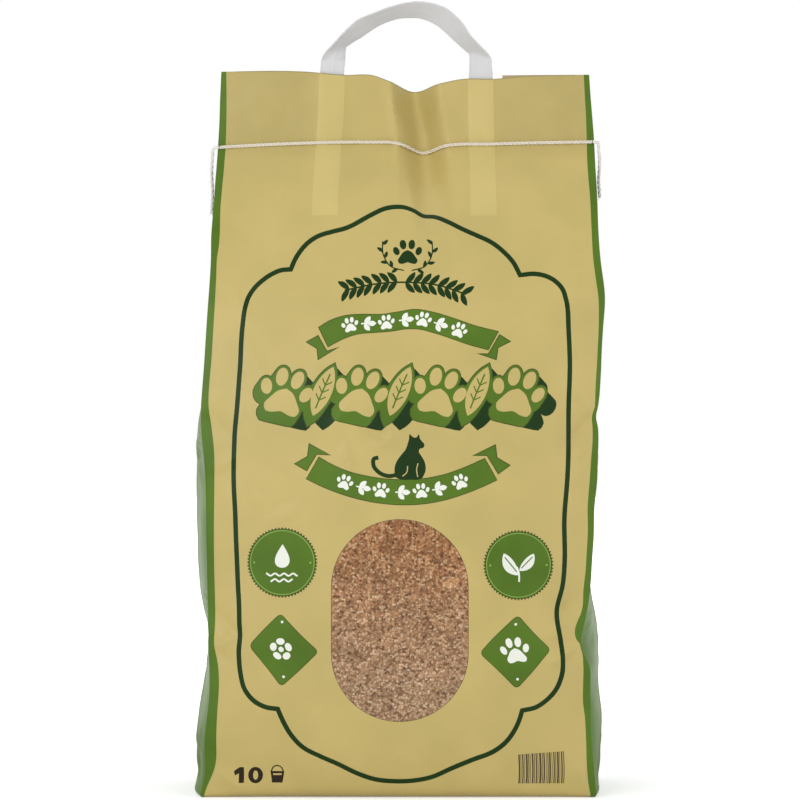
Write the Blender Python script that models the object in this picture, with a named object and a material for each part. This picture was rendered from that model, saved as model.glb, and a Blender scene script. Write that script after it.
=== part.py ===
"""A filled paper sack of cat litter with side gussets, a sewn neck and a flat carrying strap.

Metres, +Z up. The front panel faces -Y, and the origin is under the middle of the flat bottom.
Heights on the sack are paper heights: the cut edge and the seam sag from them by a few millimetres.
"""

import math

import bmesh
import bpy
import numpy as np

# The sack, filled and standing
PANEL_WIDTH = 0.248  # between the two creases of the front panel
CREASE_DEPTH = 0.104  # from the front creases to the back ones
PANEL_BULGE = 0.0125  # how far the fill pushes each panel past its creases
SEAM_HEIGHT = 0.4185
NECK_HEIGHT = 0.0455  # from the seam up to the cut edge
NECK_THICKNESS = 0.0036  # all the layers, pressed together by the seam
SHOULDER_HEIGHT = 0.255  # the panels start to lean together here
FOLDING_HEIGHT = 0.060  # the gussets fold inwards over this height
GUSSET_SLACK = 0.004  # half of a gusset's flat width, past half of its depth
GUSSET_FOLD = CREASE_DEPTH / 2 + GUSSET_SLACK
GUSSET_BOW = 0.09  # how round a folded gusset's two halves are, as a share of its depth
LAYER = 0.0012  # one side of the neck beside a folded gusset
BOTTOM_RADIUS = 0.007  # lower edge of a panel, half-way across
CREASE_RADIUS = 0.002  # the same edge at a crease
BULGE_POWER = 2.3  # how flat a panel's bulge is across its middle

# The valley fold that pushes the neck back, right of the middle
VALLEY_TOP = 0.0095  # its place along the cut edge
VALLEY_SEAM = 0.0155  # its place along the seam
VALLEY_HALF_WIDTH = 0.017
VALLEY_DEPTH_TOP = 0.019
VALLEY_DEPTH_SEAM = 0.013
VALLEY_FRONT_LENGTH = 0.066  # below the seam it fades out over this height
VALLEY_BACK_LENGTH = 0.090
VALLEY_DRIFT = 0.12  # metres to the right for each metre below the seam

# The soft wave of the neck's layers
WAVE_DEPTH = 0.0016
WAVE_LENGTH = 0.185
WAVE_PHASE = 0.6
WAVE_START = 0.80  # it grows from this share of the seam's height to the next
WAVE_END = 1.02

# The carrying strap
STRAP_WIDTH = 0.0155
STRAP_THICKNESS = 0.0009
STRAP_LEFT_INSET = 0.0085  # from a leg's outer edge to the folded gusset beside it
STRAP_RIGHT_INSET = 0.0067
STRAP_TAIL = 0.046  # how far each end runs below the seam
STRAP_LEFT_SPREAD = 0.004  # how far each end leans outwards
STRAP_RIGHT_SPREAD = 0.0013
LOOP_HEIGHT = 0.0437  # from the cut edge to the middle of the strap
LOOP_ROLL = math.radians(56)  # how far the strap turns edge-on over the loop
ROLL_START = 0.05  # it turns between these shares of the loop's height
ROLL_END = 0.50

# The sewn seam
CHAIN_RADIUS = 0.00125
NEEDLE_RADIUS = 0.0007
STITCH = 0.0082
CHAIN_SIZES = (0.72, 1.0, 0.94)  # the thread's size along one stitch
NEEDLE_SIZES = (0.7, 1.0)
TAIL_RADIUS = 0.0011
TAIL_LEFT = 0.043  # free thread below the seam
TAIL_RIGHT = 0.036
TAIL_BEND = 0.006  # it turns downwards over this height
TAIL_CLEARANCE = 0.0006  # from the crease to a hanging thread

GAP = 0.0003  # between pieces that touch
MOUTH_MARGIN = 0.0012  # from a leg's outer edge to the mouth's end
MOUTH_FLOOR = 0.004  # the mouth ends this far above the seam
CUTTER_REACH = 0.004  # how far a cutter stands out of the face that it cuts

# The fold lines of the bottom's flaps
FLAP_OVERLAP = 0.012
FLAP_LINE_WIDTH = 0.0008
FLAP_LINE_DEPTH = 0.0006

# How far the creases stand outside half of PANEL_WIDTH, against their share of the whole height
LEFT_CREASE = [
    (0.0, 0.0030), (0.03, -0.0002), (0.08, -0.0005), (0.14, -0.0035), (0.22, -0.0030),
    (0.34, -0.0018), (0.45, -0.0007), (0.54, 0.0032), (0.60, 0.0020), (0.76, -0.0017),
    (0.82, -0.0010), (0.90, -0.0038), (1.0, -0.0076),
]
RIGHT_CREASE = [
    (0.0, 0.0005), (0.08, -0.0030), (0.17, -0.0048), (0.22, -0.0098), (0.28, -0.0045), (0.37, -0.0010),
    (0.53, 0.0015), (0.61, 0.0050), (0.68, 0.0067), (0.76, 0.0053), (0.90, 0.0034), (1.0, -0.0011),
]
# How far the filled gussets swell past their creases
LEFT_SWELL = [
    (0.0, 0.0064), (0.07, 0.0090), (0.15, 0.0080), (0.21, 0.0025), (0.28, 0.0075), (0.44, 0.0105),
    (0.51, 0.0065), (0.56, 0.0020),
]
RIGHT_SWELL = [
    (0.0, 0.0058), (0.07, 0.0080), (0.15, 0.0098), (0.215, 0.0137), (0.30, 0.0050), (0.42, 0.0034),
    (0.56, 0.0030),
]
# Half depth at the creases and the share of the bulge, against the share of the seam's height
CREASE_PROFILE = [
    (0.0, 0.94), (0.06, 1.0), (0.30, 1.02), (0.55, 1.0), (0.66, 0.93),
    (0.76, 0.77), (0.85, 0.52), (0.93, 0.23), (0.985, 0.02), (1.0, 0.0),
]
BULGE_PROFILE = [
    (0.0, 0.25), (0.06, 0.55), (0.18, 0.90), (0.36, 1.0), (0.55, 0.95),
    (0.68, 0.78), (0.80, 0.55), (0.91, 0.26), (0.985, 0.02), (1.0, 0.0),
]
# Sag of the seam and of the cut edge along x, from their even heights
SEAM_SAG = [
    (-0.125, -0.0028), (-0.070, -0.0002), (-0.020, 0.0008), (-0.003, 0.0004), (0.0155, -0.0052),
    (0.030, -0.0014), (0.060, -0.0003), (0.130, 0.0010),
]
EDGE_SAG = [
    (-0.125, 0.0012), (-0.060, 0.0010), (-0.036, -0.0010), (-0.017, -0.0012), (-0.006, -0.0052),
    (0.0085, -0.0100), (0.026, -0.0062), (0.040, -0.0034), (0.060, -0.0034), (0.080, -0.0018),
    (0.130, -0.0008),
]
# The strap's loop: share of the way across, and share of the loop's height
LOOP = [
    (0.0, 0.0), (0.004, 0.20), (0.050, 0.40), (0.152, 0.59), (0.288, 0.82), (0.43, 0.955), (0.55, 1.0),
    (0.66, 0.965), (0.76, 0.87), (0.85, 0.70), (0.91, 0.52), (0.968, 0.34), (1.0, 0.16), (1.0, 0.0),
]

HEIGHT = SEAM_HEIGHT + NECK_HEIGHT
PANEL_STEPS = 24
VALLEY_STEPS = 12
GUSSET_STEPS = 8
BOTTOM_ROWS = [0.0, 0.0009, 0.0030, 0.0070]  # heights round the lower edge
BODY_ROWS = 14
SHOULDER_ROWS = 16
NECK_ROWS = 5
STRAP_ROWS = 9
LOOP_ROWS = 45


def through(points, at):
    """A smooth curve through a few points, with its slope at each taken from the neighbours."""
    known, value = np.array(points, float).T
    slope = np.gradient(value, known)
    i = np.clip(np.searchsorted(known, at) - 1, 0, len(known) - 2)
    step = known[i + 1] - known[i]
    t = np.clip((at - known[i]) / step, 0, 1)
    start = (1 + 2 * t) * (1 - t) ** 2 * value[i] + t * (1 - t) ** 2 * step * slope[i]
    end = t * t * (3 - 2 * t) * value[i + 1] + t * t * (t - 1) * step * slope[i + 1]
    return float(start + end)


def ease(low, high, at):
    """0 below low, 1 above high, and a soft step between them."""
    t = min(max((at - low) / (high - low), 0.0), 1.0)
    return t * t * (3 - 2 * t)


def crease_x(side, height):
    """The x of the left (-1) or right (+1) crease."""
    offset = through(LEFT_CREASE if side < 0 else RIGHT_CREASE, height / HEIGHT)
    return side * (PANEL_WIDTH / 2 + offset - rounding(CREASE_RADIUS, height))


def rounding(radius, height):
    """How far a lower edge of this radius stands back at a height."""
    below = min(max(radius - height, 0.0), radius)
    return radius - math.sqrt(radius * radius - below * below)


def crease_half_depth(height):
    neck = NECK_THICKNESS / 2
    return neck + (CREASE_DEPTH / 2 - neck) * through(CREASE_PROFILE, min(height / SEAM_HEIGHT, 1.0))


def half_depth(across, height):
    """Half depth of the sack, across going from -1 at the left crease to 1 at the right one."""
    bulge = PANEL_BULGE * through(BULGE_PROFILE, min(height / SEAM_HEIGHT, 1.0))
    bulge *= 1 - abs(across) ** BULGE_POWER
    radius = CREASE_RADIUS + (BOTTOM_RADIUS - CREASE_RADIUS) * (1 - across**4)
    return crease_half_depth(height) + bulge - rounding(radius, height)


def valley(x, height, fade_length):
    """How far the valley fold pushes the paper back."""
    up = ease(SEAM_HEIGHT, HEIGHT, height)
    middle = VALLEY_SEAM + (VALLEY_TOP - VALLEY_SEAM) * up
    middle += VALLEY_DRIFT * max(SEAM_HEIGHT - height, 0.0)
    depth = VALLEY_DEPTH_SEAM + (VALLEY_DEPTH_TOP - VALLEY_DEPTH_SEAM) * up
    depth *= ease(SEAM_HEIGHT - fade_length, SEAM_HEIGHT, height)
    t = min(abs(x - middle) / VALLEY_HALF_WIDTH, 1.0)
    return depth * (1 + math.cos(math.pi * t)) / 2


def wave(x, height):
    """The soft wave of the neck's layers, which dies out down the sack."""
    grown = ease(WAVE_START, WAVE_END, height / SEAM_HEIGHT)
    return WAVE_DEPTH * grown * math.sin(2 * math.pi * x / WAVE_LENGTH + WAVE_PHASE)


def sag(x, height):
    """How far the seam and the cut edge stand above or below their even heights."""
    seam = through(SEAM_SAG, x) * ease(SEAM_HEIGHT - VALLEY_FRONT_LENGTH, SEAM_HEIGHT, height)
    up = ease(SEAM_HEIGHT, HEIGHT, height)
    return seam * (1 - up) + through(EDGE_SAG, x) * up


def panel_point(side, across, height):
    """A point of the front (-1) or back (+1) panel."""
    left, right = crease_x(-1, height), crease_x(1, height)
    x = left + (right - left) * (across + 1) / 2
    fade = VALLEY_FRONT_LENGTH if side < 0 else VALLEY_BACK_LENGTH
    y = side * half_depth(across, height) + valley(x, height, fade) + wave(x, height)
    return (x, y, height + sag(x, height))


def front_point(x, height, inset=0.0):
    """The point of the front panel at a place across it, moved back by inset."""
    left, right = crease_x(-1, height), crease_x(1, height)
    across = 2 * (x - left) / (right - left) - 1
    point = panel_point(-1, across, height)
    return np.array([point[0], point[1] + inset, point[2]])


def gusset_point(side, t, height):
    """A point of the left (-1) or right (+1) gusset, t going from -1 at the front to 1 at the back."""
    edge = crease_x(side, height)
    depth = crease_half_depth(height) - rounding(CREASE_RADIUS, height) - LAYER
    depth = max(depth, NECK_THICKNESS / 2 - LAYER)
    folded = ease(SHOULDER_HEIGHT, SHOULDER_HEIGHT + FOLDING_HEIGHT, height)
    fold = math.sqrt(max(GUSSET_FOLD**2 - depth**2, 0.0))
    table = LEFT_SWELL if side < 0 else RIGHT_SWELL
    swell = through(table, min(height / HEIGHT, table[-1][0]))
    bow = GUSSET_BOW * depth * math.sin(math.pi * abs(t))
    out = (1 - folded) * swell * (1 - t * t) - folded * (fold * (1 - abs(t)) - bow)
    x = edge + side * out
    return (x, t * depth + wave(x, height), height + sag(edge, height))


def fold_tip(side):
    """The x of the fold half-way down a gusset, at the cut edge."""
    return crease_x(side, HEIGHT) - side * GUSSET_FOLD


def strap_x(side):
    """The x where a leg of the strap leaves the mouth."""
    inset = STRAP_LEFT_INSET if side < 0 else STRAP_RIGHT_INSET
    return fold_tip(side) - side * (STRAP_WIDTH / 2 + inset)


def row_heights():
    """Paper heights of the rows, closer together at the rounded bottom and over the shoulder."""
    body = np.linspace(2 * BOTTOM_ROWS[-1], SHOULDER_HEIGHT, BODY_ROWS + 1)
    shoulder = np.linspace(SHOULDER_HEIGHT, SEAM_HEIGHT, SHOULDER_ROWS + 1)[1:]
    neck = np.linspace(SEAM_HEIGHT, HEIGHT, NECK_ROWS + 1)[1:]
    return [*BOTTOM_ROWS, *body, *shoulder, *neck]


def panel_columns():
    """Places across a panel, closer together at the valley fold."""
    even = np.linspace(-1, 1, PANEL_STEPS + 1)
    start = (VALLEY_TOP - VALLEY_HALF_WIDTH) / (PANEL_WIDTH / 2)
    end = (VALLEY_SEAM + VALLEY_HALF_WIDTH) / (PANEL_WIDTH / 2)
    fold = np.linspace(start, end, VALLEY_STEPS + 1)
    spacing = (fold[1] - fold[0]) / 2
    return sorted([*fold, *[a for a in even if a < start - spacing or a > end + spacing]])


def new_material(name, colour, roughness):
    material = bpy.data.materials.new(name)
    material.use_nodes = True
    shader = material.node_tree.nodes["Principled BSDF"]
    shader.inputs["Base Color"].default_value = (*colour, 1.0)
    shader.inputs["Roughness"].default_value = roughness
    shader.inputs["Metallic"].default_value = 0.0
    return material


def new_object(name, mesh, material=None, parent=None):
    thing = bpy.data.objects.new(name, mesh)
    bpy.context.scene.collection.objects.link(thing)
    if material:
        thing.data.materials.append(material)
    thing.parent = parent
    return thing


def loft(name, loops, material=None, parent=None, cap=None):
    """A closed solid through rings of points, capped at both ends. The last cap may be several faces."""
    shape = bmesh.new()
    rings = [[shape.verts.new(point) for point in loop] for loop in loops]
    for low, high in zip(rings, rings[1:]):
        for i in range(len(low)):
            j = (i + 1) % len(low)
            shape.faces.new((low[i], low[j], high[j], high[i]))
    caps = [shape.faces.new(rings[0][::-1])]
    for corners in cap or [range(len(rings[-1]))]:
        caps.append(shape.faces.new([rings[-1][i] for i in corners]))
    bmesh.ops.triangulate(shape, faces=caps, ngon_method="EAR_CLIP")
    bmesh.ops.recalc_face_normals(shape, faces=shape.faces)
    mesh = bpy.data.meshes.new(name)
    shape.to_mesh(mesh)
    shape.free()
    mesh.shade_smooth()
    mesh.set_sharp_from_angle(angle=math.radians(38))
    return new_object(name, mesh, material, parent)


def cut(thing, cutter):
    """Takes the cutter's shape out of an object, and keeps the cutter as a hidden guide."""
    modifier = thing.modifiers.new(cutter.name, "BOOLEAN")
    modifier.operation = "DIFFERENCE"
    modifier.solver = "EXACT"
    modifier.object = cutter
    cutter.hide_render = True
    cutter.display_type = "WIRE"
    cutter.parent = thing


def sack_loop(height):
    """One ring round the sack: front panel, right gusset, back panel and left gusset."""
    columns = panel_columns()
    folds = np.linspace(-1, 1, GUSSET_STEPS + 1)
    front = [panel_point(-1, a, height) for a in columns]
    right = [gusset_point(1, t, height) for t in folds]
    back = [panel_point(1, a, height) for a in reversed(columns)]
    left = [gusset_point(-1, t, height) for t in reversed(folds)]
    return front + right + back + left


def neck_cap():
    """The faces of the cut edge: four lips beside the folded gussets, and strips across the neck."""
    columns, folds = len(panel_columns()), GUSSET_STEPS + 1
    loop = sack_loop(HEIGHT)
    back = 2 * columns + folds - 1  # less a column's number, that column of the back panel
    right_fold = columns + GUSSET_STEPS // 2
    left_fold = len(loop) - 1 - GUSSET_STEPS // 2
    first = next(i for i in range(columns) if loop[i][0] > loop[left_fold][0])
    last = next(i for i in range(columns) if loop[i + 1][0] > loop[right_fold][0])
    strips = [(i, i + 1, back - i - 1, back - i) for i in range(first, last)]
    ends = [(first, back - first, left_fold), (last, right_fold, back - last)]
    left_lips = [[*range(first + 1), *range(left_fold, len(loop))], [*range(back - first, left_fold + 1)]]
    right_lips = [[*range(last, right_fold + 1)], [*range(right_fold, back - last + 1)]]
    return strips + ends + left_lips + right_lips


def mouth_cutter():
    """The narrow mouth between the two lips of the neck, ending short of the folded gussets."""
    reach = STRAP_WIDTH / 2 + MOUTH_MARGIN
    start, end = strap_x(-1) - reach, strap_x(1) + reach
    middles = [a * PANEL_WIDTH / 2 for a in panel_columns()]
    columns = [start, *[x for x in middles if start + MOUTH_MARGIN < x < end - MOUTH_MARGIN], end]
    half = STRAP_THICKNESS / 2 + GAP
    rows = np.linspace(SEAM_HEIGHT, HEIGHT, NECK_ROWS + 1)[1:]
    loops = []
    for height in [SEAM_HEIGHT + MOUTH_FLOOR, *rows, HEIGHT + CUTTER_REACH]:
        paper = min(height, HEIGHT)
        middle = [front_point(x, paper, NECK_THICKNESS / 2) + (0, 0, height - paper) for x in columns]
        front = [point - (0, half, 0) for point in middle]
        back = [point + (0, half, 0) for point in reversed(middle)]
        loops.append(front + back)
    return loft("mouth_cutter", loops)


def tail_middles(side):
    """Heights and places of one end of the strap, from its tip inside the sack up to the mouth."""
    spread = STRAP_LEFT_SPREAD if side < 0 else STRAP_RIGHT_SPREAD
    tip = SEAM_HEIGHT - STRAP_TAIL
    places = []
    for height in np.linspace(tip, HEIGHT, STRAP_ROWS):
        places.append((strap_x(side) + side * spread * (1 - ease(tip, HEIGHT, height)), height))
    return places


def tail_ring(x, height, half_width, half_thickness, lift=0.0):
    """The strap's section where it lies against the inside of the front panel."""
    ends = [front_point(x + side * half_width, height, NECK_THICKNESS / 2) for side in (-1, 1)]
    level = (ends[0][2] + ends[1][2]) / 2 + lift
    ring = []
    for end, side in ((ends[0], -1), (ends[1], -1), (ends[1], 1), (ends[0], 1)):
        ring.append((end[0], end[1] + side * half_thickness, level))
    return ring


def slot_cutter(name, side):
    """The narrow pocket round one end of the strap, from below its tip up into the mouth."""
    half_width = STRAP_WIDTH / 2 + GAP
    half_thickness = STRAP_THICKNESS / 2 + GAP
    middles = tail_middles(side)
    x, height = middles[0]
    rings = [tail_ring(x, height, half_width, half_thickness, -GAP)]
    rings += [tail_ring(x, h, half_width, half_thickness) for x, h in middles[1:]]
    x, height = middles[-1]
    rings.append(tail_ring(x, height, half_width, half_thickness, CUTTER_REACH))
    return loft(name, rings)


def loop_rings():
    """Sections of the strap over its loop: it turns partly edge-on as it leaves each leg."""
    points = np.array(LOOP)
    span = np.concatenate([[0], np.cumsum(np.hypot(*np.diff(points, axis=0).T))])
    start = front_point(strap_x(-1), HEIGHT, NECK_THICKNESS / 2)
    end = front_point(strap_x(1), HEIGHT, NECK_THICKNESS / 2)
    steps = np.linspace(0, span[-1], LOOP_ROWS)
    across = np.array([through(list(zip(span, points[:, 0])), s) for s in steps])
    up = np.array([through(list(zip(span, points[:, 1])), s) for s in steps])
    middle = start + np.outer(across, end - start)
    middle[:, 2] += LOOP_HEIGHT * up
    rings = []
    for i in range(1, len(steps) - 1):
        along = middle[i + 1] - middle[i - 1]
        along /= np.linalg.norm(along)
        inward = np.cross((0, 1, 0), along)
        inward /= np.linalg.norm(inward)
        roll = LOOP_ROLL * ease(ROLL_START, ROLL_END, up[i])
        width = inward * math.cos(roll) + np.array((0, 1, 0)) * math.sin(roll)
        face = np.cross(along, width) * STRAP_THICKNESS / 2
        low, high = middle[i] - width * STRAP_WIDTH / 2, middle[i] + width * STRAP_WIDTH / 2
        rings.append([low - face, high - face, high + face, low + face])
    return rings


def strap_rings():
    """Sections of the whole strap, from its left tip over the loop to its right tip."""
    half_width, half_thickness = STRAP_WIDTH / 2, STRAP_THICKNESS / 2
    left = [tail_ring(x, h, half_width, half_thickness) for x, h in tail_middles(-1)]
    right = []
    for x, h in reversed(tail_middles(1)):
        a, b, c, d = tail_ring(x, h, half_width, half_thickness)
        right.append([b, a, d, c])
    return left + loop_rings() + right


def cord(name, points, radius, sizes, material, parent):
    """A thread: a tube through the points, whose size repeats the given ones."""
    curve = bpy.data.curves.new(name, "CURVE")
    curve.dimensions = "3D"
    curve.bevel_depth = radius
    curve.bevel_resolution = 2
    curve.use_fill_caps = True
    spline = curve.splines.new("POLY")
    spline.points.add(len(points) - 1)
    for i, point in enumerate(points):
        spline.points[i].co = (*point, 1.0)
        spline.points[i].radius = sizes[i % len(sizes)]
    return new_object(name, curve, material, parent)


def seam_points(side, points_per_stitch, clear):
    """Points along the seam on the front (-1) or back (+1), clear of the paper."""
    left = crease_x(-1, SEAM_HEIGHT) + CHAIN_RADIUS
    right = crease_x(1, SEAM_HEIGHT) - CHAIN_RADIUS
    count = round((right - left) / STITCH) * points_per_stitch + 1
    points = []
    for x in np.linspace(left, right, count):
        step = front_point(x + CHAIN_RADIUS, SEAM_HEIGHT) - front_point(x - CHAIN_RADIUS, SEAM_HEIGHT)
        out = np.array([step[1], -step[0], 0.0]) / math.hypot(step[0], step[1])
        point = front_point(x, SEAM_HEIGHT)
        if side > 0:
            point[1] += NECK_THICKNESS
        points.append(point - side * out * clear)
    return points


def smooth_route(route, spacing):
    """Evenly spaced points on a smooth curve through a thread's few hand-chosen ones."""
    route = np.array(route)
    span = np.concatenate([[0], np.cumsum(np.linalg.norm(np.diff(route, axis=0), axis=1))])
    count = max(int(span[-1] / spacing), 4)
    steps = np.linspace(0, span[-1], count + 1)
    return [[through(list(zip(span, route[:, axis])), s) for axis in range(3)] for s in steps]


def free_thread(name, side, chain_end, length, material, parent):
    """The loose end of the seam's chain: over the crease, then straight down beside the folded gusset."""
    edge = crease_x(side, SEAM_HEIGHT)
    y, z = front_point(edge, SEAM_HEIGHT)[1:]
    beside = edge + side * (TAIL_RADIUS + TAIL_CLEARANCE)
    curl = TAIL_RADIUS / 2  # how far it strays from a straight line
    route = [
        chain_end + (side * 2 * GAP, 0, 0),
        (edge + side * GAP, chain_end[1], z - GAP),
        (beside, y, z - TAIL_BEND),
        (beside + side * curl, y + 2 * curl, z - 0.35 * length),
        (beside, y + 2 * curl, z - 0.70 * length),
        (beside + side * curl, y, z - length),
    ]
    return cord(name, smooth_route(route, 2.5 * TAIL_RADIUS), TAIL_RADIUS, (1.0,), material, parent)


def flap_cutter(name, start, end):
    """A shallow line under the sack, where a flap of the bottom is folded over another."""
    start, end = np.array(start), np.array(end)
    along = (end - start) / np.linalg.norm(end - start)
    across = np.array([-along[1], along[0]]) * FLAP_LINE_WIDTH / 2
    rings = []
    for place in (start, end):
        low, high = place - across, place + across
        rings.append([
            (*low, -CUTTER_REACH), (*high, -CUTTER_REACH), (*high, FLAP_LINE_DEPTH), (*low, FLAP_LINE_DEPTH),
        ])
    return loft(name, rings)


def cut_flap_lines(sack):
    """The long edge of the upper flap, and the slanted edges of the two end flaps under it."""
    half = CREASE_DEPTH / 2 - 2 * BOTTOM_RADIUS
    inner = PANEL_WIDTH / 2 - 2 * BOTTOM_RADIUS - half - FLAP_OVERLAP
    cut(sack, flap_cutter("flap_line", (-inner, FLAP_OVERLAP), (inner, FLAP_OVERLAP)))
    for side, word in ((-1, "left"), (1, "right")):
        for end, place in ((-1, "front"), (1, "back")):
            start = FLAP_OVERLAP + end * 2 * FLAP_LINE_WIDTH
            outer = inner + abs(end * half - start)
            name = f"flap_line_{word}_{place}"
            cut(sack, flap_cutter(name, (side * inner, start), (side * outer, end * half)))


def build():
    for thing in list(bpy.data.objects):
        bpy.data.objects.remove(thing, do_unlink=True)
    root = new_object("litter_bag", None)
    paper = new_material("printed_paper", (0.52, 0.44, 0.19), 0.42)
    strap = new_material("white_strap", (0.60, 0.60, 0.59), 0.55)
    thread = new_material("sewing_thread", (0.74, 0.70, 0.60), 0.85)

    sack = loft("sack", [sack_loop(height) for height in row_heights()], paper, root, neck_cap())
    cut(sack, mouth_cutter())
    cut(sack, slot_cutter("slot_cutter_left", -1))
    cut(sack, slot_cutter("slot_cutter_right", 1))
    cut_flap_lines(sack)

    loft("carry_strap", strap_rings(), strap, root)
    chain = seam_points(-1, len(CHAIN_SIZES), CHAIN_RADIUS + GAP)
    cord("seam_chain_front", chain, CHAIN_RADIUS, CHAIN_SIZES, thread, root)
    needle = seam_points(1, len(NEEDLE_SIZES), NEEDLE_RADIUS + GAP)
    cord("seam_thread_back", needle, NEEDLE_RADIUS, NEEDLE_SIZES, thread, root)
    free_thread("seam_tail_left", -1, chain[0], TAIL_LEFT, thread, root)
    free_thread("seam_tail_right", 1, chain[-1], TAIL_RIGHT, thread, root)


build()
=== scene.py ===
"""A sewn paper sack of cat litter with a flat carrying strap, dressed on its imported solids.

Metres, +Z up, front panel facing -Y. The print is drawn in millimetres on the front panel:
u to the right from the middle of the panel, v up the paper from the bottom crease.
"""

import math

import bmesh
import bpy
import numpy as np
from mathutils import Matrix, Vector, geometry, kdtree, noise


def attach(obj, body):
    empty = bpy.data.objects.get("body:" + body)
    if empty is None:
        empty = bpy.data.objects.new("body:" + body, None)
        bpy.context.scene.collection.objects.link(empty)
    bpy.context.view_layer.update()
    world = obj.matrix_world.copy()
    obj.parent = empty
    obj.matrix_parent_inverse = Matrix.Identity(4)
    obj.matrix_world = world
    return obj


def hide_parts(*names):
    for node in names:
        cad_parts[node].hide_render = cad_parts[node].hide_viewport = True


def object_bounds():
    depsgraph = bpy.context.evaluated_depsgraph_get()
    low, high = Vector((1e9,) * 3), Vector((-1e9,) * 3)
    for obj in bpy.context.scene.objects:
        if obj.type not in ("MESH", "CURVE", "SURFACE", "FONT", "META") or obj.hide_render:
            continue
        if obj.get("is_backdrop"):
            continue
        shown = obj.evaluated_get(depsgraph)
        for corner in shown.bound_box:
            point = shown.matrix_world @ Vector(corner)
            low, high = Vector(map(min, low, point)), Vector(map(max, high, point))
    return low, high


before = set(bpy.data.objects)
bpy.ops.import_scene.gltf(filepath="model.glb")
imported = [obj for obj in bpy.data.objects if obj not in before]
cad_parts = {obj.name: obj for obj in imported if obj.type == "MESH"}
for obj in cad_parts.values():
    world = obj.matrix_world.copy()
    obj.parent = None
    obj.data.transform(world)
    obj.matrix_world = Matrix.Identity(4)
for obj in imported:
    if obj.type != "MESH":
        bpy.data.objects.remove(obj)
CAD_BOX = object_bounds()
MM = 0.001

# The sack, in metres, with the same sizes as its solid
PANEL_WIDTH = 0.248
CREASE_DEPTH = 0.104
PANEL_BULGE = 0.0125
SEAM_HEIGHT = 0.4185
NECK_HEIGHT = 0.0455
NECK_THICKNESS = 0.0036
SHOULDER_HEIGHT = 0.255
FOLDING_HEIGHT = 0.060
GUSSET_FOLD = 0.056
GUSSET_BOW = 0.09
LAYER = 0.0012
BOTTOM_RADIUS = 0.007
CREASE_RADIUS = 0.002
BULGE_POWER = 2.3
VALLEY_TOP = 0.0095
VALLEY_SEAM = 0.0155
VALLEY_HALF_WIDTH = 0.017
VALLEY_DEPTH_TOP = 0.019
VALLEY_DEPTH_SEAM = 0.013
VALLEY_LENGTH = {-1: 0.066, 1: 0.090}
VALLEY_DRIFT = 0.12
WAVE_DEPTH = 0.0016
WAVE_LENGTH = 0.185
WAVE_PHASE = 0.6
WAVE_START = 0.80
WAVE_END = 1.02
HEIGHT = SEAM_HEIGHT + NECK_HEIGHT

# How far each front crease lies outside half the panel's width, by its share of the height
CREASE_OFFSET = {
    -1: [
        (0.0, 0.0030), (0.03, -0.0002), (0.08, -0.0005), (0.14, -0.0035), (0.22, -0.0030), (0.34, -0.0018),
        (0.45, -0.0007), (0.54, 0.0032), (0.60, 0.0020), (0.76, -0.0017), (0.82, -0.0010), (0.90, -0.0038),
        (1.0, -0.0076),
    ],
    1: [
        (0.0, 0.0005), (0.08, -0.0030), (0.17, -0.0048), (0.22, -0.0098), (0.28, -0.0045), (0.37, -0.0010),
        (0.53, 0.0015), (0.61, 0.0050), (0.68, 0.0067), (0.76, 0.0053), (0.90, 0.0034), (1.0, -0.0011),
    ],
}

# How far a gusset swells out past its creases, by its share of the height
SWELL = {
    -1: [
        (0.0, 0.0064), (0.07, 0.0090), (0.15, 0.0080), (0.21, 0.0025), (0.28, 0.0075), (0.44, 0.0105),
        (0.51, 0.0065), (0.56, 0.0020),
    ],
    1: [
        (0.0, 0.0058), (0.07, 0.0080), (0.15, 0.0098), (0.215, 0.0137), (0.30, 0.0050), (0.42, 0.0034),
        (0.56, 0.0030),
    ],
}

# The creases' depth and the panels' bulge, as shares of the whole, by the share of the seam's height
CREASE_PROFILE = [
    (0.0, 0.94), (0.06, 1.0), (0.30, 1.02), (0.55, 1.0), (0.66, 0.93), (0.76, 0.77), (0.85, 0.52),
    (0.93, 0.23), (0.985, 0.02), (1.0, 0.0),
]
BULGE_PROFILE = [
    (0.0, 0.25), (0.06, 0.55), (0.18, 0.90), (0.36, 1.0), (0.55, 0.95), (0.68, 0.78), (0.80, 0.55),
    (0.91, 0.26), (0.985, 0.02), (1.0, 0.0),
]

# How far the seam and the mouth lie above their mean height, by x
SEAM_SAG = [
    (-0.125, -0.0028), (-0.070, -0.0002), (-0.020, 0.0008), (-0.003, 0.0004), (0.0155, -0.0052),
    (0.030, -0.0014), (0.060, -0.0003), (0.130, 0.0010),
]
EDGE_SAG = [
    (-0.125, 0.0012), (-0.060, 0.0010), (-0.036, -0.0010), (-0.017, -0.0012), (-0.006, -0.0052),
    (0.0085, -0.0100), (0.026, -0.0062), (0.040, -0.0034), (0.060, -0.0034), (0.080, -0.0018),
    (0.130, -0.0008),
]

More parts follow.
